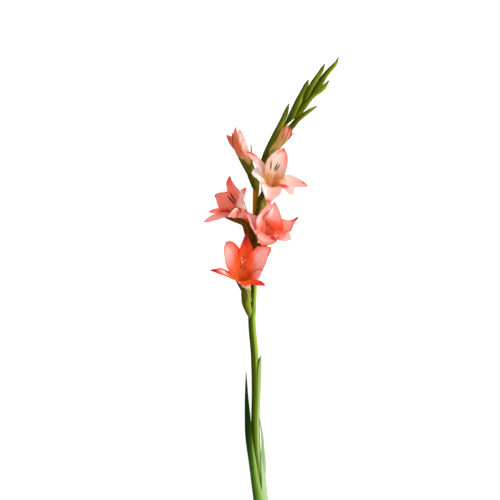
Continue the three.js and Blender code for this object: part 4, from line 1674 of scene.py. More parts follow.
        floor, start, leave = self.curve.point([TUBE_FLOOR, THREADS_FROM, THREADS_LEAVE])
        axis = self.curve.tangent(THREADS_LEAVE)
        low, high = FILAMENT_SPREAD
        for i, (root, end) in enumerate(vec(self.anthers)):
            side = self.away(axis, FILAMENT_ANGLES[i])
            inside = lerp(root, end, FILAMENT_IN_ANTHER)
            run = [floor + side * low, start + side * low, leave + side * high, root, inside]
            piece(f"filament_{self.number}_{i + 1}", self._thread(run, FILAMENT_RADII), self.thread)
            piece(f"anther_{self.number}_{i + 1}", self._anther(root, end), ANTHER_PURPLE)
        fork = vec(self.fork)
        style = self._thread([floor, start, leave, fork], STYLE_RADII)
        piece(f"style_{self.number}", style, self.thread)
        for i, end in enumerate(vec(self.lobes)):
            lobe = self._thread([fork, lerp(fork, end, 0.6), end], LOBE_RADII, Grid(24, 12), flat=0.5)
            piece(f"stigma_{self.number}_{i + 1}", lobe, STIGMA_PALE)

    def build(self, stem: Stem, shop: Workshop) -> None:
        """Makes the bloom's pieces.

        Args:
            stem: the stem that carries it.
            shop: what makes the pieces.
        """
        node = f"petals_{self.number}"
        shop.piece(f"tube_{self.number}", self._tube(), [self.finish], node, self.slot)
        step = CLOSED_STEP if self.closed else OPEN_STEP
        for i, tepal in enumerate(self.tepals):
            surface = self._tepal_surface(tepal, step if i % 2 else -step)
            skin = blade(surface, self.grid, self._tepal_thickness, self._tepal_masks(tepal))
            if not self.closed:
                skin.masks[Hue.THROAT.value] *= 1 - 0.8 * skin.masks["outside"]
            shop.piece(f"tepal_{self.number}_{i + 1}", skin, [self.finish], node, self.slot)
        for i, bract in enumerate(self.bracts):
            name = f"bract_{self.number}_{'inner' if i else 'outer'}"
            skin = self._bract(stem, bract, i > 0)
            shop.piece(name, skin, [BRACT_GREEN], f"spathe_{self.number}", Slot.BRACT)
        if self.anthers:
            self._build_threads(shop)


def bract_surface(core: Spline, radius_at: Callable[[Array], Array], bract: Bract) -> Surface:
    """The middle layer of a bract that wraps a core curve and then runs out to its tip.

    Args:
        core: the curve that it wraps.
        radius_at: how far it stands from the core at a place on it.
        bract: the bract.

    Returns:
        The surface.
    """

    def place_at(s: Array) -> Array:
        """The place on the core: from start to reach over the first three quarters."""
        return lerp(bract.start, bract.reach, np.minimum(1, vec(s) / 0.75))

    def outward(place: Array) -> Array:
        """The way from the core to the bract's rib."""
        tangent = core.tangent(place)
        ahead = square_to(np.broadcast_to(Z_AXIS, tangent.shape), tangent)
        right = np.cross(tangent, ahead)
        turn = each(np.radians(bract.angle + bract.twist * place))
        return right * np.cos(turn) + ahead * np.sin(turn)

    places = place_at([0, 0.25, 0.5, 0.75])
    stations = core.point(places) + outward(places) * each(radius_at(places))
    rib = Spline(np.vstack([stations, bract.tip]))
    foot = radius_at(bract.start) * bract.clasp

    def surface(s: Array, u: Array) -> Array:
        """The bent section with its ribs and keel."""
        place = place_at(s)
        tangent = rib.tangent(s)
        inward = square_to(-outward(place), tangent)
        lateral = np.cross(tangent, inward)
        half = taper(s, foot, bract.width, widest=0.35, blunt=3, point=1) * smoothstep(s, -0.03, 0.12)
        curvature = lerp(1 / radius_at(place), 0.07, smoothstep(s, 0.5, 1))
        ribs = 0.07 * np.cos(np.pi * 9 * u) + 0.3 * bell(u, 0, 0.08)
        return bend(rib.point(s), lateral, inward, half * u, curvature) - inward * each(ribs)

    return surface


def bract_thickness(s: Array, u: Array) -> Array:
    """A bract's thickness: full above its foot and at its middle, papery at its foot, margins and tip."""
    edge = np.maximum(np.abs(u) ** 3, smoothstep(s, 0.5, 1))
    return lerp(0.8, 0.3, np.maximum(edge, 1 - smoothstep(s, 0, 0.12)))


def bract_masks(bract: Bract) -> Masks:
    """The masks of a bract: a dry tip, fresh bands, a deep lower half and pale margins.

    Args:
        bract: the bract.

    Returns:
        The function that gives the masks at s and u.
    """

    def masks(s: Array, u: Array) -> dict[str, Array]:
        """The masks at s and u."""
        margin = smoothstep(np.abs(u) + 0.03 * np.sin(40 * s), 0.9, 1.0)
        bands = 0.5 + 0.5 * np.sin(4 * u + 7 * s + bract.angle)
        return {
            "dry": bract.dry * smoothstep(s, 0.02, 0.3) + 0.8 * smoothstep(s, 0.92, 1.0),
            "fresh": bract.fresh * (0.5 + bands) * (1 - smoothstep(s, bract.fresh_to - 0.15, bract.fresh_to)),
            "deep": bract.deep * bell(s, 0.3, 0.3),
            "rim": bract.rim * margin * smoothstep(s, 0.05, 0.3) * (1 - smoothstep(s, 0.8, 0.95)),
        }

    return masks


# Green buds

INNER_TURN = 170.0  # how far round a green bud its inner bract faces from the outer one, in degrees
INNER_INSET = 0.4  # how far it lies inside


@dataclass
class GreenBud:
    """A closed green bud near the tip: its heart, the bract that folds round it and a second one inside.

    Attributes:
        number: its number from the foot of the stem up.
        path: points down its middle.
        tip: where the outer bract's tip is.
        radius: its radius at the widest.
        facing: the side that the outer bract lies on.
        fresh: how pale it is.
        dry: how brown its tip is.
        foot_down: how much lower than its path it leaves the stem.
        heart_profile: the heart's radius along it, as shares of the radius.
        heart_depth: its depth as a share of its width.
        bract_width: half the outer bract's width, in radii.
        heart_grid: the heart's cells.
        bract_grid: a bract's cells.
    """

    number: int
    path: Sequence[Triple]
    tip: Triple
    radius: float
    facing: float
    fresh: float = 0.15
    dry: float = 0.35
    foot_down: float = 9.0
    heart_profile: Sequence[float] = (0.45, 0.85, 0.95, 0.8, 0.5, 0.12)
    heart_depth: float = 0.85
    bract_width: float = 1.4
    heart_grid: Grid = Grid(60, 28)
    bract_grid: Grid = Grid(64, 22)

    def _bract(self, stem: Stem, bract: Bract, inset: float) -> Skin:
        """A bract round the heart, whose foot lies in the stem.

        Args:
            stem: the stem.
            bract: the bract.
            inset: how far it lies inside the outer one.

        Returns:
            Its skin.
        """
        body = Spline(self.heart_profile)
        foot_at = stem.at(self.path[0][1] - self.foot_down)
        core = Spline(np.vstack([stem.curve.point(foot_at), self.path]))
        stem_radius = stem.radius.value(foot_at)

        def radius_at(place: float | Array) -> float | Array:
            """How far it stands from the core: in the stem at its foot, then round the heart."""
            around_heart = self.radius * lerp(0.9, body.value(place), 0.7)
            return lerp(stem_radius - 0.4, around_heart, smoothstep(place, 0.0, 0.22)) - inset

        surface = bract_surface(core, radius_at, bract)
        return blade(surface, self.bract_grid, bract_thickness, bract_masks(bract))

    def build(self, stem: Stem, shop: Workshop) -> None:
        """Makes the bud's heart and its two bracts.

        Args:
            stem: the stem that carries it.
            shop: what makes the pieces.
        """
        node = f"bud_{self.number}"
        body = Spline(self.heart_profile)

        def radius(t: Array, angle: Array) -> tuple[Array, Array]:
            """The two radii, with three folds that wind round."""
            folds = 1 + 0.03 * np.cos(3 * angle + 4 * t)
            size = self.radius * body.value(t) * folds
            return size, size * self.heart_depth

        def masks(t: Array, angle: Array) -> dict[str, Array]:
            """Deep at its foot and dry at its tip."""
            return {
                "fresh": self.fresh * (0.6 + 0.4 * np.cos(2 * angle)),
                "deep": 0.5 * (1 - smoothstep(t, 0, 0.5)),
                "dry": self.dry * smoothstep(t, 0.8, 1),
            }

        heart = rod(Spline(self.path), radius, self.heart_grid, masks=masks)
        shop.piece(f"bud_heart_{self.number}", heart, [BUD_GREEN], node, Slot.BUD)
        width = self.radius * self.bract_width
        # deep=0.6 darkens the outer bract's lower half: painted shade where the bud leaves the stem
        outer = Bract(self.facing, self.tip, width, reach=0.85, dry=self.dry, fresh=self.fresh, deep=0.6)
        inner_tip = tuple(lerp(vec(self.path[-1]), vec(self.tip), 0.4))
        inner = Bract(
            self.facing - INNER_TURN, inner_tip, width * 0.8, start=0.15, reach=0.8, dry=self.dry, fresh=0.4
        )
        for which, bract, inset in (("outer", outer, 0.0), ("inner", inner, INNER_INSET)):
            skin = self._bract(stem, bract, inset)
            shop.piece(f"bud_bract_{self.number}_{which}", skin, [BUD_GREEN], node, Slot.BUD)


# The plant's own sizes

PALE, WARM, THROAT, WHITE, EDGE, DARK = Hue

LEAVES = (
    LeafBlade(
        name="stem_sheath",
        thickness=0.8,
        finish=SHEATH_GREEN,
        slot=Slot.SHEATH,
        shaded=0.6,
        foot=1.0,
        stations=sections(
            (-330, -20, 6.5, 9), (-285, -20, 6.5, 9.5), (-240, -20, 6.5, 9.6), (-195, -15, 7, 9.6),
            (-160, -5, 8.6, 8.5), (-146, 10, 9.2, 0.6, None, 0.1),
        ),
    ),
    LeafBlade(
        name="leaf_right",
        thickness=1.1,
        finish=LEAF_FRESH,
        slot=Slot.LEAF_PALE,
        stations=sections(
            (-425.5, 0, 7.6, 15.5), (-391, 0, 7.6, 14.5), (-352, 5, 9.6, 12.5, None, 0.125),
            (-320.5, 10, 10.2, 8, 22, 0.1), (-292.5, 25, 10.8, 3.6, 60, 0.05),
            (-264, 30, 11.5, 1.8, 70, 0.02), (-236, 35, 8, 0.5, 70, 0.02),
        ),
    ),
    LeafBlade(
        name="leaf_left",
        thickness=1.1,
        finish=LEAF_DARK,
        slot=Slot.LEAF_DARK,
        dry_from=0.955,
        rim=(0.9, 0.2),
        fresh=0.9,
        stations=sections(
            (-425.5, 180, 9, 23), (-391, 178, 9, 20.5), (-352, 170, 9.2, 17),
            (-316, 164, 10, 12.5, 160, 0.11), (-279, 162, 10.5, 8.5, 138, 0.095),
            (-243.5, 158, 11, 5, 112, 0.06), (-208.6, 162, 13, 2.7, 100, 0.04),
            (-171, 165, 13.2, 0.5, 95, 0.03),
        ),
    ),
)

LOWEST_TEPALS = (
    Tepal(148, (-30.5, 11.5, 58), 15, blunt=6, rim=(0.2, 0.9), tipped=0.6, pale=0.3, warm=0.4,
          left=((231, 274.5), (227, 267.5), (225, 260), (224, 250), (226, 242.3)),
          right=((245, 269), (245.5, 260), (242, 252), (236.5, 245), (229, 241)),
          marks=(Mark(PALE, 0.6, -0.4, 0.28, 0.55, 1.3), Mark(EDGE, 0.34, -1, 0.12, 0.2, 0.8),
                 Mark(WARM, 0.45, 0.9, 0.4, 0.75, 1.3), Mark(EDGE, 0.82, 0.95, 0.2, 0.22, 1.0))),
    Tepal(212, (-54.6, -27.3, 70), 12, curl=30, rim=(1, 1), pale=0.2, warm=0.6,
          left=((236.5, 280.5), (230, 277.8), (223, 275.3), (216.5, 273)),
          right=((233.5, 275.5), (228, 271), (222.5, 268.3), (216.5, 268.6)),
          marks=(Mark(WHITE, 0.55, 0.3, 0.14, 0.28, 0.9), Mark(EDGE, 0.5, -0.8, 0.4, 0.4, 0.8),
                 Mark(EDGE, 0.88, 0, 0.16, 2, 1.2), Mark(DARK, 0.9, 0, 0.11, 0.8, 1.3))),
    Tepal(275, (20, -48, 84), 8, curl=40, rim=(0.8, 0.5), pale=0.2, warm=1,
          left=((250, 279.3), (254.5, 279.8), (258.5, 280.2), (262, 281.5), (265.3, 285)),
          right=((237, 280.5), (243, 284), (250, 284.2), (257.5, 285.5), (264, 286)),
          marks=(Mark(WARM, 0.6, 0, 0.35, 2, 0.9), Mark(PALE, 0.2, 0.9, 0.2, 0.5, 1.2),
                 Mark(EDGE, 0.85, 0, 0.26, 2, 1.3))),
    Tepal(330, (15, -27.4, 66), 8, blunt=5, curl=20, rim=(0.7, 0.2), tipped=0.2, pale=0.7, warm=0.3,
          left=((251, 277), (253, 272.5), (256.5, 269.5), (260, 269)),
          right=((254, 281), (257.5, 280), (260, 277), (261.5, 273.5)),
          marks=(Mark(PALE, 0.6, 0.2, 0.3, 0.8, 0.8), Mark(WHITE, 0.5, 1, 0.3, 0.5, 0.8))),
    # its orange left half and pale right half are partly its own colour, partly painted shade on the left and
    # painted light on the right, where the light comes from
    Tepal(32, (18.5, 5, 60), 14, blunt=9, widest=0.35, lift=(9, 0), rim=(0.8, 0.25), tipped=0.2, pale=0.6,
          warm=0.1,
          left=((246.5, 269), (247, 261), (249.5, 254.5), (254, 249.2), (261, 246.3)),
          right=((257, 277.5), (262, 271.5), (265.5, 264), (268.8, 255.5), (270.8, 246.8)),
          marks=(Mark(WARM, 0.48, -1, 0.3, 0.55, 1.4), Mark(PALE, 0.65, 0.3, 0.35, 0.7, 1.2),
                 Mark(EDGE, 0.9, 0.95, 0.12, 0.2, 0.7))),
    Tepal(90, (-4.8, 24, 56), 13, blunt=2, rim=(1, 1), warm=1,
          left=((240, 268), (238, 259), (239.5, 250), (242, 242.3)),
          right=((251, 268.5), (253.5, 258), (253, 248.5), (249.3, 240)),
          marks=(Mark(WARM, 0.5, 0, 0.4, 3, 1.2), Mark(EDGE, 0.85, 0, 0.22, 2, 1.2),
                 Mark(DARK, 0.96, 0, 0.15, 2, 1.2), Mark(DARK, 0.76, 0.1, 0.14, 0.14, 0.6),
                 Mark(THROAT, 0.15, 0, 0.22, 2, 0.7))),
)

LEFT_TEPALS = (
    Tepal(90, (-28, 104, 22), 14, blunt=2.2, rim=(0.9, 0.9), tipped=0.9, warm=0.2,
          left=((233, 203), (229, 197), (227.3, 190), (226.2, 183)),
          right=((240, 199.5), (240, 193.5), (236.8, 187.6), (232.3, 181.5)),
          marks=(Mark(EDGE, 0.85, 0, 0.14, 2, 0.7), Mark(PALE, 0.5, 0.5, 0.25, 0.35, 0.4))),
    Tepal(150, (-50.3, 78, -0.3), 15, rim=(0.3, 1), tipped=0.6, warm=0.2,
          left=((227, 210), (219.5, 208.5), (217.5, 204.5), (216, 199.5)),
          right=((233.5, 198), (228.5, 192.3), (224.5, 192), (219, 192.8)),
          marks=(Mark(DARK, 0.98, 0, 0.05, 1, 1.3),)),
    Tepal(205, (-57.6, 53, 30), 7.5, rim=(0.4, 0.4), tipped=0.4, pale=0.4, warm=0.4,
          left=((229.5, 215), (224, 214.5), (219, 214), (213.5, 213.5)),
          right=((230, 208), (224, 208), (218, 208.2), (213, 209.2)),
          marks=(Mark(EDGE, 0.36, 0, 0.24, 0.8, 1.4), Mark(DARK, 0.32, 0.1, 0.2, 0.5, 0.8))),
    Tepal(265, (-63.7, 39, 52), 10, curl=20, rim=(0.3, 0.9), pale=0.6,
          left=((229.5, 216), (222, 218), (215, 220.2), (208.5, 222)),
          right=((224, 212.5), (216.5, 213.8), (211, 215.6), (207, 218.6)),
          marks=(Mark(DARK, 0.95, 0.5, 0.06, 0.8, 0.9),)),
    Tepal(320, (-24.5, 52.5, 72), 9, blunt=6, curl=-10, rim=(0, 0.3), tipped=0, warm=0.5,
          left=((238, 209), (236.5, 207.8), (234.5, 209), (231.5, 212), (228.5, 215)),
          right=((236.5, 217.5), (235, 218.3), (233, 217.8), (230.8, 216.8), (228.5, 215.7)),
          # the white along its margin at u -1 is a painted highlight on the curled edge
          marks=(Mark(WHITE, 0.6, -1, 0.6, 0.2, 2),)),
    Tepal(25, (-5.5, 86, 67), 14, side=4, rim=(0.4, 0.9), pale=0.9,
          left=((236, 206.5), (237.8, 200), (239.3, 194), (241.3, 189.7)),
          right=((245, 211), (243, 205), (243.4, 199), (245.4, 193)),
          marks=(Mark(EDGE, 0.92, 0, 0.12, 2, 0.8), Mark(DARK, 0.77, 0.02, 0.03, 0.14, 1.4),
                 Mark(PALE, 0.4, 0, 0.3, 3, 1.2), Mark(WHITE, 0.1, 0.2, 0.25, 1.2, 0.8))),
)

RIGHT_TEPALS = (
    Tepal(62, (34, 66, 56), 14, lift=(0, -3), rim=(0.3, 0.35), tipped=0.4, pale=0.5, warm=0.35,
          left=((265, 221), (264, 217.5), (266.5, 213.5), (270.5, 207.5)),
          right=((277, 235.5), (283, 231), (282.4, 221), (279, 210)),
          marks=(Mark(WARM, 0.25, 0.3, 0.2, 0.9, 0.5), Mark(WARM, 0.5, 0.85, 0.35, 0.5, 0.4),
                 Mark(PALE, 0.65, 0.2, 0.25, 0.7, 0.8), Mark(WHITE, 0.72, -0.5, 0.2, 0.16, 1.2))),
    Tepal(120, (28, 67.5, 64), 19, side=-10, widest=0.3, rim=(1, 0.2), tipped=0.6, pale=0.6,
          left=((256.5, 230), (256.3, 221.5), (259.3, 214), (264.5, 207.3)),
          right=((274, 220.5), (276, 215.5), (275, 210.5), (272.5, 206.3)),
          marks=(Mark(WARM, 0.4, -1, 0.35, 0.3, 1.1), Mark(WHITE, 0.36, -0.25, 0.22, 0.4, 0.9),
                 Mark(PALE, 0.6, 0, 0.3, 0.7, 1))),
    Tepal(178, (-8.9, 56, 60), 19, blunt=2, side=-2, widest=0.3, rim=(0.3, 0.5), pale=1,
          left=((257.5, 235.5), (253, 229), (249.3, 222), (246.3, 215.5)),
          right=((264, 219), (259, 216.5), (253.5, 214.3), (248.5, 212)),
          marks=(Mark(DARK, 0.82, 0.12, 0.03, 0.25, 1.4), Mark(EDGE, 0.95, 0, 0.14, 2, 0.9),
                 Mark(PALE, 0.45, 0, 0.35, 1.2, 1.1))),
    Tepal(235, (16, 6, 70), 16, curl=60, rim=(0.7, 0.3), tipped=0.5, pale=0.3,
          left=((271, 235.5), (275.5, 237.5), (277, 240.5), (272.5, 244.3)),
          right=((258.5, 232.8), (257.3, 234.5), (257.5, 238), (259.3, 242)),
          marks=(Mark(PALE, 0.4, 0.2, 0.3, 0.8, 1.4), Mark(WARM, 0.85, 0, 0.2, 2, 0.4),
                 Mark(EDGE, 0.42, -0.9, 0.16, 0.3, 2), Mark(DARK, 0.4, -0.95, 0.06, 0.14, 1))),
    Tepal(298, (57.6, 14.6, 42), 17, side=4, rim=(0.3, 0.3), tipped=0.3, pale=1,
          left=((279, 231), (283.5, 231), (288, 231.5), (290.3, 234.5)),
          right=((274, 235.5), (277.5, 238.5), (282, 240.8), (287, 240.8)),
          marks=(Mark(PALE, 0.6, 0, 0.4, 3, 1.2), Mark(EDGE, 0.3, 0.2, 0.1, 0.6, 1.5))),
    Tepal(0, (68, 47, 22), 19, blunt=1.8, rim=(0.6, 0.3), pale=0.6, warm=0.2,
          left=((274, 221), (278, 218.5), (284, 219.3), (291, 220)),
          right=((284, 233), (290, 231.5), (293, 226.5), (295.7, 221.5)),
          marks=(Mark(DARK, 0.94, 0, 0.06, 1.5, 1), Mark(EDGE, 0.84, -0.5, 0.1, 0.8, 0.9))),
)

PALE_TEPALS = (
    Tepal(78, (46.6, 140.5, 62), 17, blunt=4, side=-4, widest=0.35, rim=(0.1, 0.35), tipped=0.45, pale=0.2,
          left=((264.5, 175), (265, 167), (267.5, 159.5), (274, 152.8)),
          right=((282.5, 179), (285.3, 173), (287.5, 165), (287.7, 156.5)),
          marks=(Mark(PALE, 0.55, 0, 0.3, 0.4, 1.5), Mark(WARM, 0.76, 0.95, 0.25, 0.5, 1.1),
                 Mark(WARM, 0.9, -0.5, 0.1, 0.4, 0.5), Mark(THROAT, 0.36, -0.9, 0.26, 0.4, 0.5),
                 Mark(THROAT, 0.42, 0.9, 0.16, 0.25, 0.3), Mark(EDGE, 0.92, 0.25, 0.07, 0.3, 0.8),
                 Mark(EDGE, 0.88, -0.4, 0.08, 0.2, 0.5))),
    Tepal(132, (-4.1, 134.8, 66), 11, rim=(0.4, 0.6), tipped=0.9, pale=0.3,
          left=((262.5, 174), (258.5, 167.5), (253.5, 161.5), (249.5, 157)),
          right=((267, 170), (263.5, 162.5), (258.5, 157.3), (253.5, 153.3)),
          marks=(Mark(WARM, 0.7, 0, 0.25, 2, 0.45), Mark(EDGE, 0.87, 0.7, 0.16, 0.5, 1.1),
                 Mark(WHITE, 0.28, -0.4, 0.13, 0.6, 0.9), Mark(DARK, 0.95, 0.3, 0.05, 0.5, 1.1),
                 Mark(DARK, 0.84, 0.7, 0.035, 0.25, 1.1), Mark(DARK, 0.73, 0.85, 0.03, 0.16, 0.9))),
    Tepal(185, (2, 105.4, 54), 13, rim=(0, 0), tipped=0,
          left=((265, 184.5), (261.5, 182.5), (258, 179.6), (254.3, 176.8)),
          right=((264.5, 171), (260, 166.5), (256, 167.3), (253, 169.8)),
          marks=(Mark(WHITE, 0.6, 0, 0.45, 3, 1.2),)),
    Tepal(245, (25, 66.6, 74), 15, blunt=3, curl=20, rim=(0.1, 0.4), tipped=0.9, pale=0.2,
          left=((277, 186.5), (281.7, 188.5), (280, 194.5), (275, 198.5), (270.3, 202)),
          right=((263.5, 182.5), (260.8, 182.3), (261.5, 187.5), (264, 194.5), (267, 202)),
          marks=(Mark(WHITE, 0.55, 0.8, 0.35, 0.5, 1), Mark(WARM, 0.65, -0.5, 0.32, 0.7, 0.55),
                 Mark(EDGE, 0.3, 0.95, 0.2, 0.16, 0.7))),
    Tepal(312, (59, 76, 42), 13, blunt=5, curl=20, rim=(0.1, 0.2), tipped=0.2, pale=0.2,
          left=((281, 181), (287.5, 183), (292.5, 185.5), (294, 190)),
          right=((277.5, 186), (282, 187), (285.5, 190.2), (289, 193.8)),
          marks=(Mark(EDGE, 0.25, 0.3, 0.16, 0.6, 2), Mark(DARK, 0.28, 0.1, 0.08, 0.3, 0.7),
                 Mark(EDGE, 0.52, 0.15, 0.14, 0.12, 1.1), Mark(WARM, 0.8, 0, 0.3, 3, 0.4))),
    Tepal(5, (82.8, 91.3, -0.3), 12, blunt=4, rim=(0.4, 0.3), tipped=0.4,
          left=((281.5, 176.5), (287, 174.5), (293, 175.8), (300.5, 179.5)),
          right=((284, 185.5), (290.5, 187.3), (297, 187), (303.5, 187)),
          marks=(Mark(EDGE, 0.17, 1, 0.12, 0.3, 2), Mark(WARM, 0.85, 0.2, 0.35, 3, 0.75),
                 Mark(THROAT, 0.22, 0, 0.14, 1, 0.5), Mark(EDGE, 0.88, -0.45, 0.06, 0.4, 0.8),
                 Mark(DARK, 0.88, -0.5, 0.035, 0.25, 1.6))),
)

LEFT_BUD_TEPALS = (
    Tepal(90, (-22, 165, 28), 8, curl=-25, rim=(0.2, 0.2), tipped=0.2, pale=1),
    Tepal(150, (-32.5, 160, 30), 9, curl=-20, rim=(0.3, 0.3), tipped=0.8, pale=0.2, warm=0.3),
    Tepal(210, (-25, 163, 38), 8, curl=-25, rim=(0.4, 0.4), tipped=0.8, warm=0.6,
          marks=(Mark(WARM, 0.5, 0, 0.3, 2, 0.4),)),
    Tepal(270, (-19, 170.5, 40), 10, curl=-25, rim=(0.4, 0.2), tipped=0.8, warm=1,
          marks=(Mark(WARM, 0.5, -0.2, 0.4, 0.9, 1.2), Mark(THROAT, 0.3, 0.4, 0.3, 0.6, 0.6))),
    Tepal(330, (-15, 168, 36), 9, curl=-25, rim=(0.1, 0.2), tipped=0.4, pale=1, warm=0.6,
          marks=(Mark(WHITE, 0.75, 0.3, 0.3, 0.9, 0.7), Mark(WARM, 0.4, -0.6, 0.3, 0.6, 1.2))),
    Tepal(30, (-13, 160, 31), 10, curl=-25, rim=(0.2, 0.3), tipped=0.4, pale=1, warm=0.2,
          marks=(Mark(PALE, 0.6, 0, 0.35, 2, 0.8),)),
)

TOP_BUD_TEPALS = tuple(
    Tepal(angle, tip, 6, curl=-25, rim=(0.5, 0.2), tipped=0.7, pale=0.4, warm=0.5,
          marks=(Mark(THROAT, 0.3, 0.3, 0.3, 0.8, 0.8), Mark(WARM, 0.7, -0.5, 0.25, 0.5, 0.7)))
    for angle, tip in (
        (90, (52, 173, 31)), (150, (50, 172, 33)), (210, (53, 173.5, 36)),
        (270, (55, 173, 36)), (330, (59.5, 170, 33)), (30, (58, 168, 31)),
    )
)

BLOOMS = (
    Bloom(
        number=1, node=-86, base=(-4, -76, 22), throat=(-6.5, -37, 45), axis=(-0.05, 0.75, 0.65),
        throat_radius=12, throat_reach=0.5, throat_warm=1.0, throat_lines=0.4,
        tepals=LOWEST_TEPALS,
        bracts=(Bract(135, (-19.5, -43, 32), 10.5, fresh=0.55, deep=0, rim=0.9),
                Bract(68, (1.3, -49, 34), 5.5, start=0.25, fresh=1.1, clasp=0.9)),
        anthers=(((-13, -24, 58), (-13.5, -22, 68)), ((-11, -26, 58), (-11.5, -25, 68)),
                 ((-7, -25, 58), (-6.5, -24, 68))),
        fork=(-10, -18, 62),
        lobes=((-11.5, -10, 67), (-6, -13, 69), (-12, -16, 70)),
    ),
    Bloom(
        number=2, node=2, base=(3, 8, 25.5), throat=(-24.5, 60.5, 40), axis=(-0.72, 0.4, 0.57),
        throat_radius=11, flare=1.9, throat_depth=0.6, tube_brown=0.62,
        tepals=LEFT_TEPALS,
        bracts=(Bract(105, (-36, 46, 26), 13, twist=60, dry=0.9, fresh=0, deep=0.5, rim=0.1),
                Bract(20, (-9, 69, 30), 3.2, start=0.35, fresh=0.8, clasp=0.7)),
        anthers=(((-18.7, 65, 45.5), (-27.7, 78, 50)), ((-20.2, 61.5, 46), (-31.5, 75, 52)),
                 ((-20, 62, 41), (-30, 74, 43))),
        fork=(-32, 82, 46),
        lobes=((-35, 91, 50), (-40, 86.5, 48), (-38, 82, 54)),
    ),
    Bloom(
        number=3, node=-26, base=(14, -15, 26), throat=(27.5, 31, 48), axis=(0.28, 0.38, 0.88),
        throat_radius=13, throat_depth=0.35, throat_warm=0.4, throat_pale=0.7, throat_lines=0.1,
        anther_radius=0.65,
        tepals=RIGHT_TEPALS,
        bracts=(Bract(100, (10, 34, 33), 9, dry=0.9, fresh=0, deep=0.6, rim=0),
                Bract(30, (15, 6, 26), 4, start=0.35, dry=0.8, fresh=0, clasp=0.8)),
        anthers=(((22.6, 37, 58), (23, 40.5, 61)), ((23, 32.5, 57), (23, 35.5, 61)),
                 ((26.5, 32.5, 57), (26.2, 38, 62))),
        fork=(27, 43, 70),
        lobes=((23, 47, 74), (31, 51, 75), (32, 41, 77)),
    ),
    Bloom(
        number=4, node=44, base=(15.5, 54, 26), throat=(32.5, 96.5, 48), axis=(0.2, 0.45, 0.87),
        throat_radius=11.5, throat_depth=1.2, throat_reach=0.41, throat_warm=0, throat_lines=0,
        finish=BLUSH, thread=THREAD_CREAM, slot=Slot.BLUSH,
        tepals=PALE_TEPALS,
        bracts=(Bract(150, (15.5, 87, 25), 9, fresh=2.5, fresh_to=0.6, deep=0, rim=0.2),
                Bract(60, (23, 69, 35), 8.5, start=0.3, fresh=1.6, rim=1, clasp=0.9)),
        anthers=(((28, 108, 62), (29, 122, 70)), ((32, 107, 62), (38, 119, 70)),
                 ((34, 107, 61), (41, 117, 67))),
        fork=(33, 118, 70),
        lobes=((30, 126, 75), (36, 127, 76), (33, 121, 78)),
    ),
    Bloom(
        number=5, node=90, base=(6, 96, 27), throat=(-8.5, 132, 31), axis=(-0.42, 0.89, 0.15),
        throat_radius=8.6, flare=1.1, closed=True, throat_depth=0.4, throat_reach=0.4, throat_warm=0.5,
        throat_lines=0, finish=BUD_CORAL,
        tepals=LEFT_BUD_TEPALS,
        bracts=(Bract(78, (-21.5, 140, 35), 10, twist=70, fresh=0.5, rim=0.3),
                Bract(65, (1.4, 147, 32), 3, start=0.35, fresh=0.6, clasp=0.7)),
    ),
    Bloom(
        number=6, node=124, base=(27, 129, 30), throat=(42.5, 151, 35), axis=(0.55, 0.82, 0.15),
        throat_radius=6.4, flare=1, closed=True, throat_depth=0.9, throat_reach=0.6, throat_warm=0.2,
        throat_lines=0, finish=BUD_CORAL,
        tepals=TOP_BUD_TEPALS,
        bracts=(Bract(60, (39, 138.5, 34), 5, fresh=0.8, deep=0, rim=0),
                Bract(-20, (62, 164, 31), 3.4, start=0.3, fresh=0.7, clasp=0.9)),
    ),
)

BUDS = (
    GreenBud(1, ((19.5, 127, 28), (28, 142, 29), (36, 161, 30), (46, 181, 31), (53.5, 197, 32)),
             (54.5, 204, 34), 5.2, 110),
    GreenBud(2, ((51, 165, 25), (60, 175, 27), (69, 184, 30), (80, 192, 32), (88, 199, 33)),
             (94, 201, 32), 4, 50),
    GreenBud(3, ((57, 185, 33), (65, 202, 35), (74, 220, 36), (80, 231, 35)), (81.5, 237, 36), 5, 110),
    GreenBud(4, ((66, 190, 31), (81, 210, 32), (96, 222, 33), (106, 228, 33)), (110, 236, 34), 5, 70),
    GreenBud(5, ((77, 212, 37), (86, 229, 37), (96, 244, 37), (101, 251, 36)), (104, 259, 37), 4, 110),
    GreenBud(6, ((91, 223, 34), (103, 241, 35), (114, 254, 35), (121, 261, 35)), (123, 268, 37), 4, 60),
)


# The studio


@dataclass(frozen=True)
class Lamp:
    """A square lamp that faces the part's middle.

    Attributes:
        name: its name.
        at: where it hangs, in metres from the part's middle.
        size: its width, in metres.
        power: its power, in watts.
        colour: its colour.
    """

    name: str
    at: Triple
    size: float
    power: float
    colour: Triple

    def build(self) -> None:
        """Hangs the lamp."""
        light = bpy.data.lights.new(self.name, "AREA")
        light.size, light.energy, light.color = self.size, self.power, self.colour
        made = add_object(self.name, light)
        made.location = self.at
        made.rotation_euler = made.location.to_track_quat("Z", "Y").to_euler()


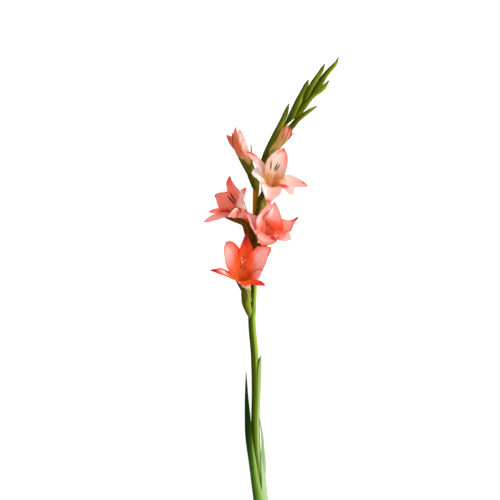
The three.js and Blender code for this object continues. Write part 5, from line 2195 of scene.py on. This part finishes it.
@dataclass
class Studio:
    """The camera over the picture's middle, a pale floor and soft light.

    Attributes:
        lens: the camera's focal length, in millimetres.
        sensor: its sensor's width, in millimetres.
        far: how far it sees, in metres.
        floor_size: the floor's width, in metres.
        floor_tone: how light it is.
        floor_glow: light added to it where the camera sees it, which keeps it pale in the shadows.
        lamps: the key and the fill light.
        sky: the strength of the light from all round.
    """

    lens: float = 100.0
    sensor: float = 36.0
    far: float = 20.0
    floor_size: float = 8.0
    floor_tone: float = 0.8
    floor_glow: float = 0.6
    lamps: Sequence[Lamp] = (
        Lamp("key_lamp", (1.5, 0.5, 1.3), 0.9, 24.0, (1.0, 0.98, 0.95)),
        Lamp("fill_lamp", (-1.2, -0.6, 1.6), 1.8, 2.0, (0.96, 0.98, 1.0)),
    )
    sky: float = 0.85

    def _camera(self, offset: Array) -> None:
        """The camera, which looks straight down over the picture's middle.

        Args:
            offset: the way from the picture's frame to the part's, in millimetres.
        """
        lens = bpy.data.cameras.new("camera")
        lens.lens, lens.sensor_width, lens.clip_end = self.lens, self.sensor, self.far
        made = add_object("camera", lens)
        made.location = (offset[0] * MM, offset[1] * MM, CAMERA_HEIGHT * MM)
        bpy.context.scene.camera = made

    def _floor(self) -> None:
        """A plain pale floor under the part."""
        half = self.floor_size / 2
        mesh = bpy.data.meshes.new("floor")
        ends = [(-half, -half, 0), (half, -half, 0), (half, half, 0), (-half, half, 0)]
        mesh.from_pydata(ends, [], [(0, 1, 2, 3)])
        material, graph = blank_material("floor_pale")
        seen = graph.add("ShaderNodeLightPath").outputs["Is Camera Ray"]
        graph.surface(
            {
                "Base Color": (self.floor_tone, self.floor_tone, self.floor_tone, 1),
                "Roughness": 0.9,
                "Specular IOR Level": 0.1,
                "Emission Color": (1, 1, 1, 1),
                "Emission Strength": graph.times(seen, self.floor_glow),
            }
        )
        mesh.materials.append(material)
        made = add_object("floor", mesh)
        made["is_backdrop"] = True

    def build(self, offset: Array) -> None:
        """Sets up the camera, the floor and the light.

        Args:
            offset: the way from the picture's frame to the part's, in millimetres.
        """
        self._camera(offset)
        self._floor()
        for lamp in self.lamps:
            lamp.build()
        world = bpy.data.worlds.new("studio")
        world.use_nodes = True
        background = world.node_tree.nodes["Background"]
        background.inputs["Color"].default_value = (1, 1, 1, 1)
        background.inputs["Strength"].default_value = self.sky
        bpy.context.scene.world = world
        bpy.context.scene.view_settings.view_transform = "Standard"
        log.info("studio: camera %.3f m up, %.1f mm lens", CAMERA_HEIGHT * MM, self.lens)


def corners(box: Iterable[Iterable[float]]) -> list[list[float]]:
    """A box's two corners as plain lists."""
    return [list(corner) for corner in box]


def main() -> None:
    """Builds the plant from the foot up, then the studio."""
    logging.basicConfig(level=logging.INFO, format="%(name)s: %(message)s")
    stem = Stem()
    offset = stem.offset()
    log.info("picture's frame to the part's: %s mm", np.round(offset, 3))
    shop = Workshop(offset)
    stem.build(shop)
    for leaf in LEAVES:
        leaf.build(stem, shop)
    for bloom in BLOOMS:
        bloom.build(stem, shop)
    for bud in BUDS:
        bud.build(stem, shop)
    Studio().build(offset)
    {"cad": corners(CAD_BOX), "visual": corners(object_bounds())}


if __name__ == "__main__":
    main()
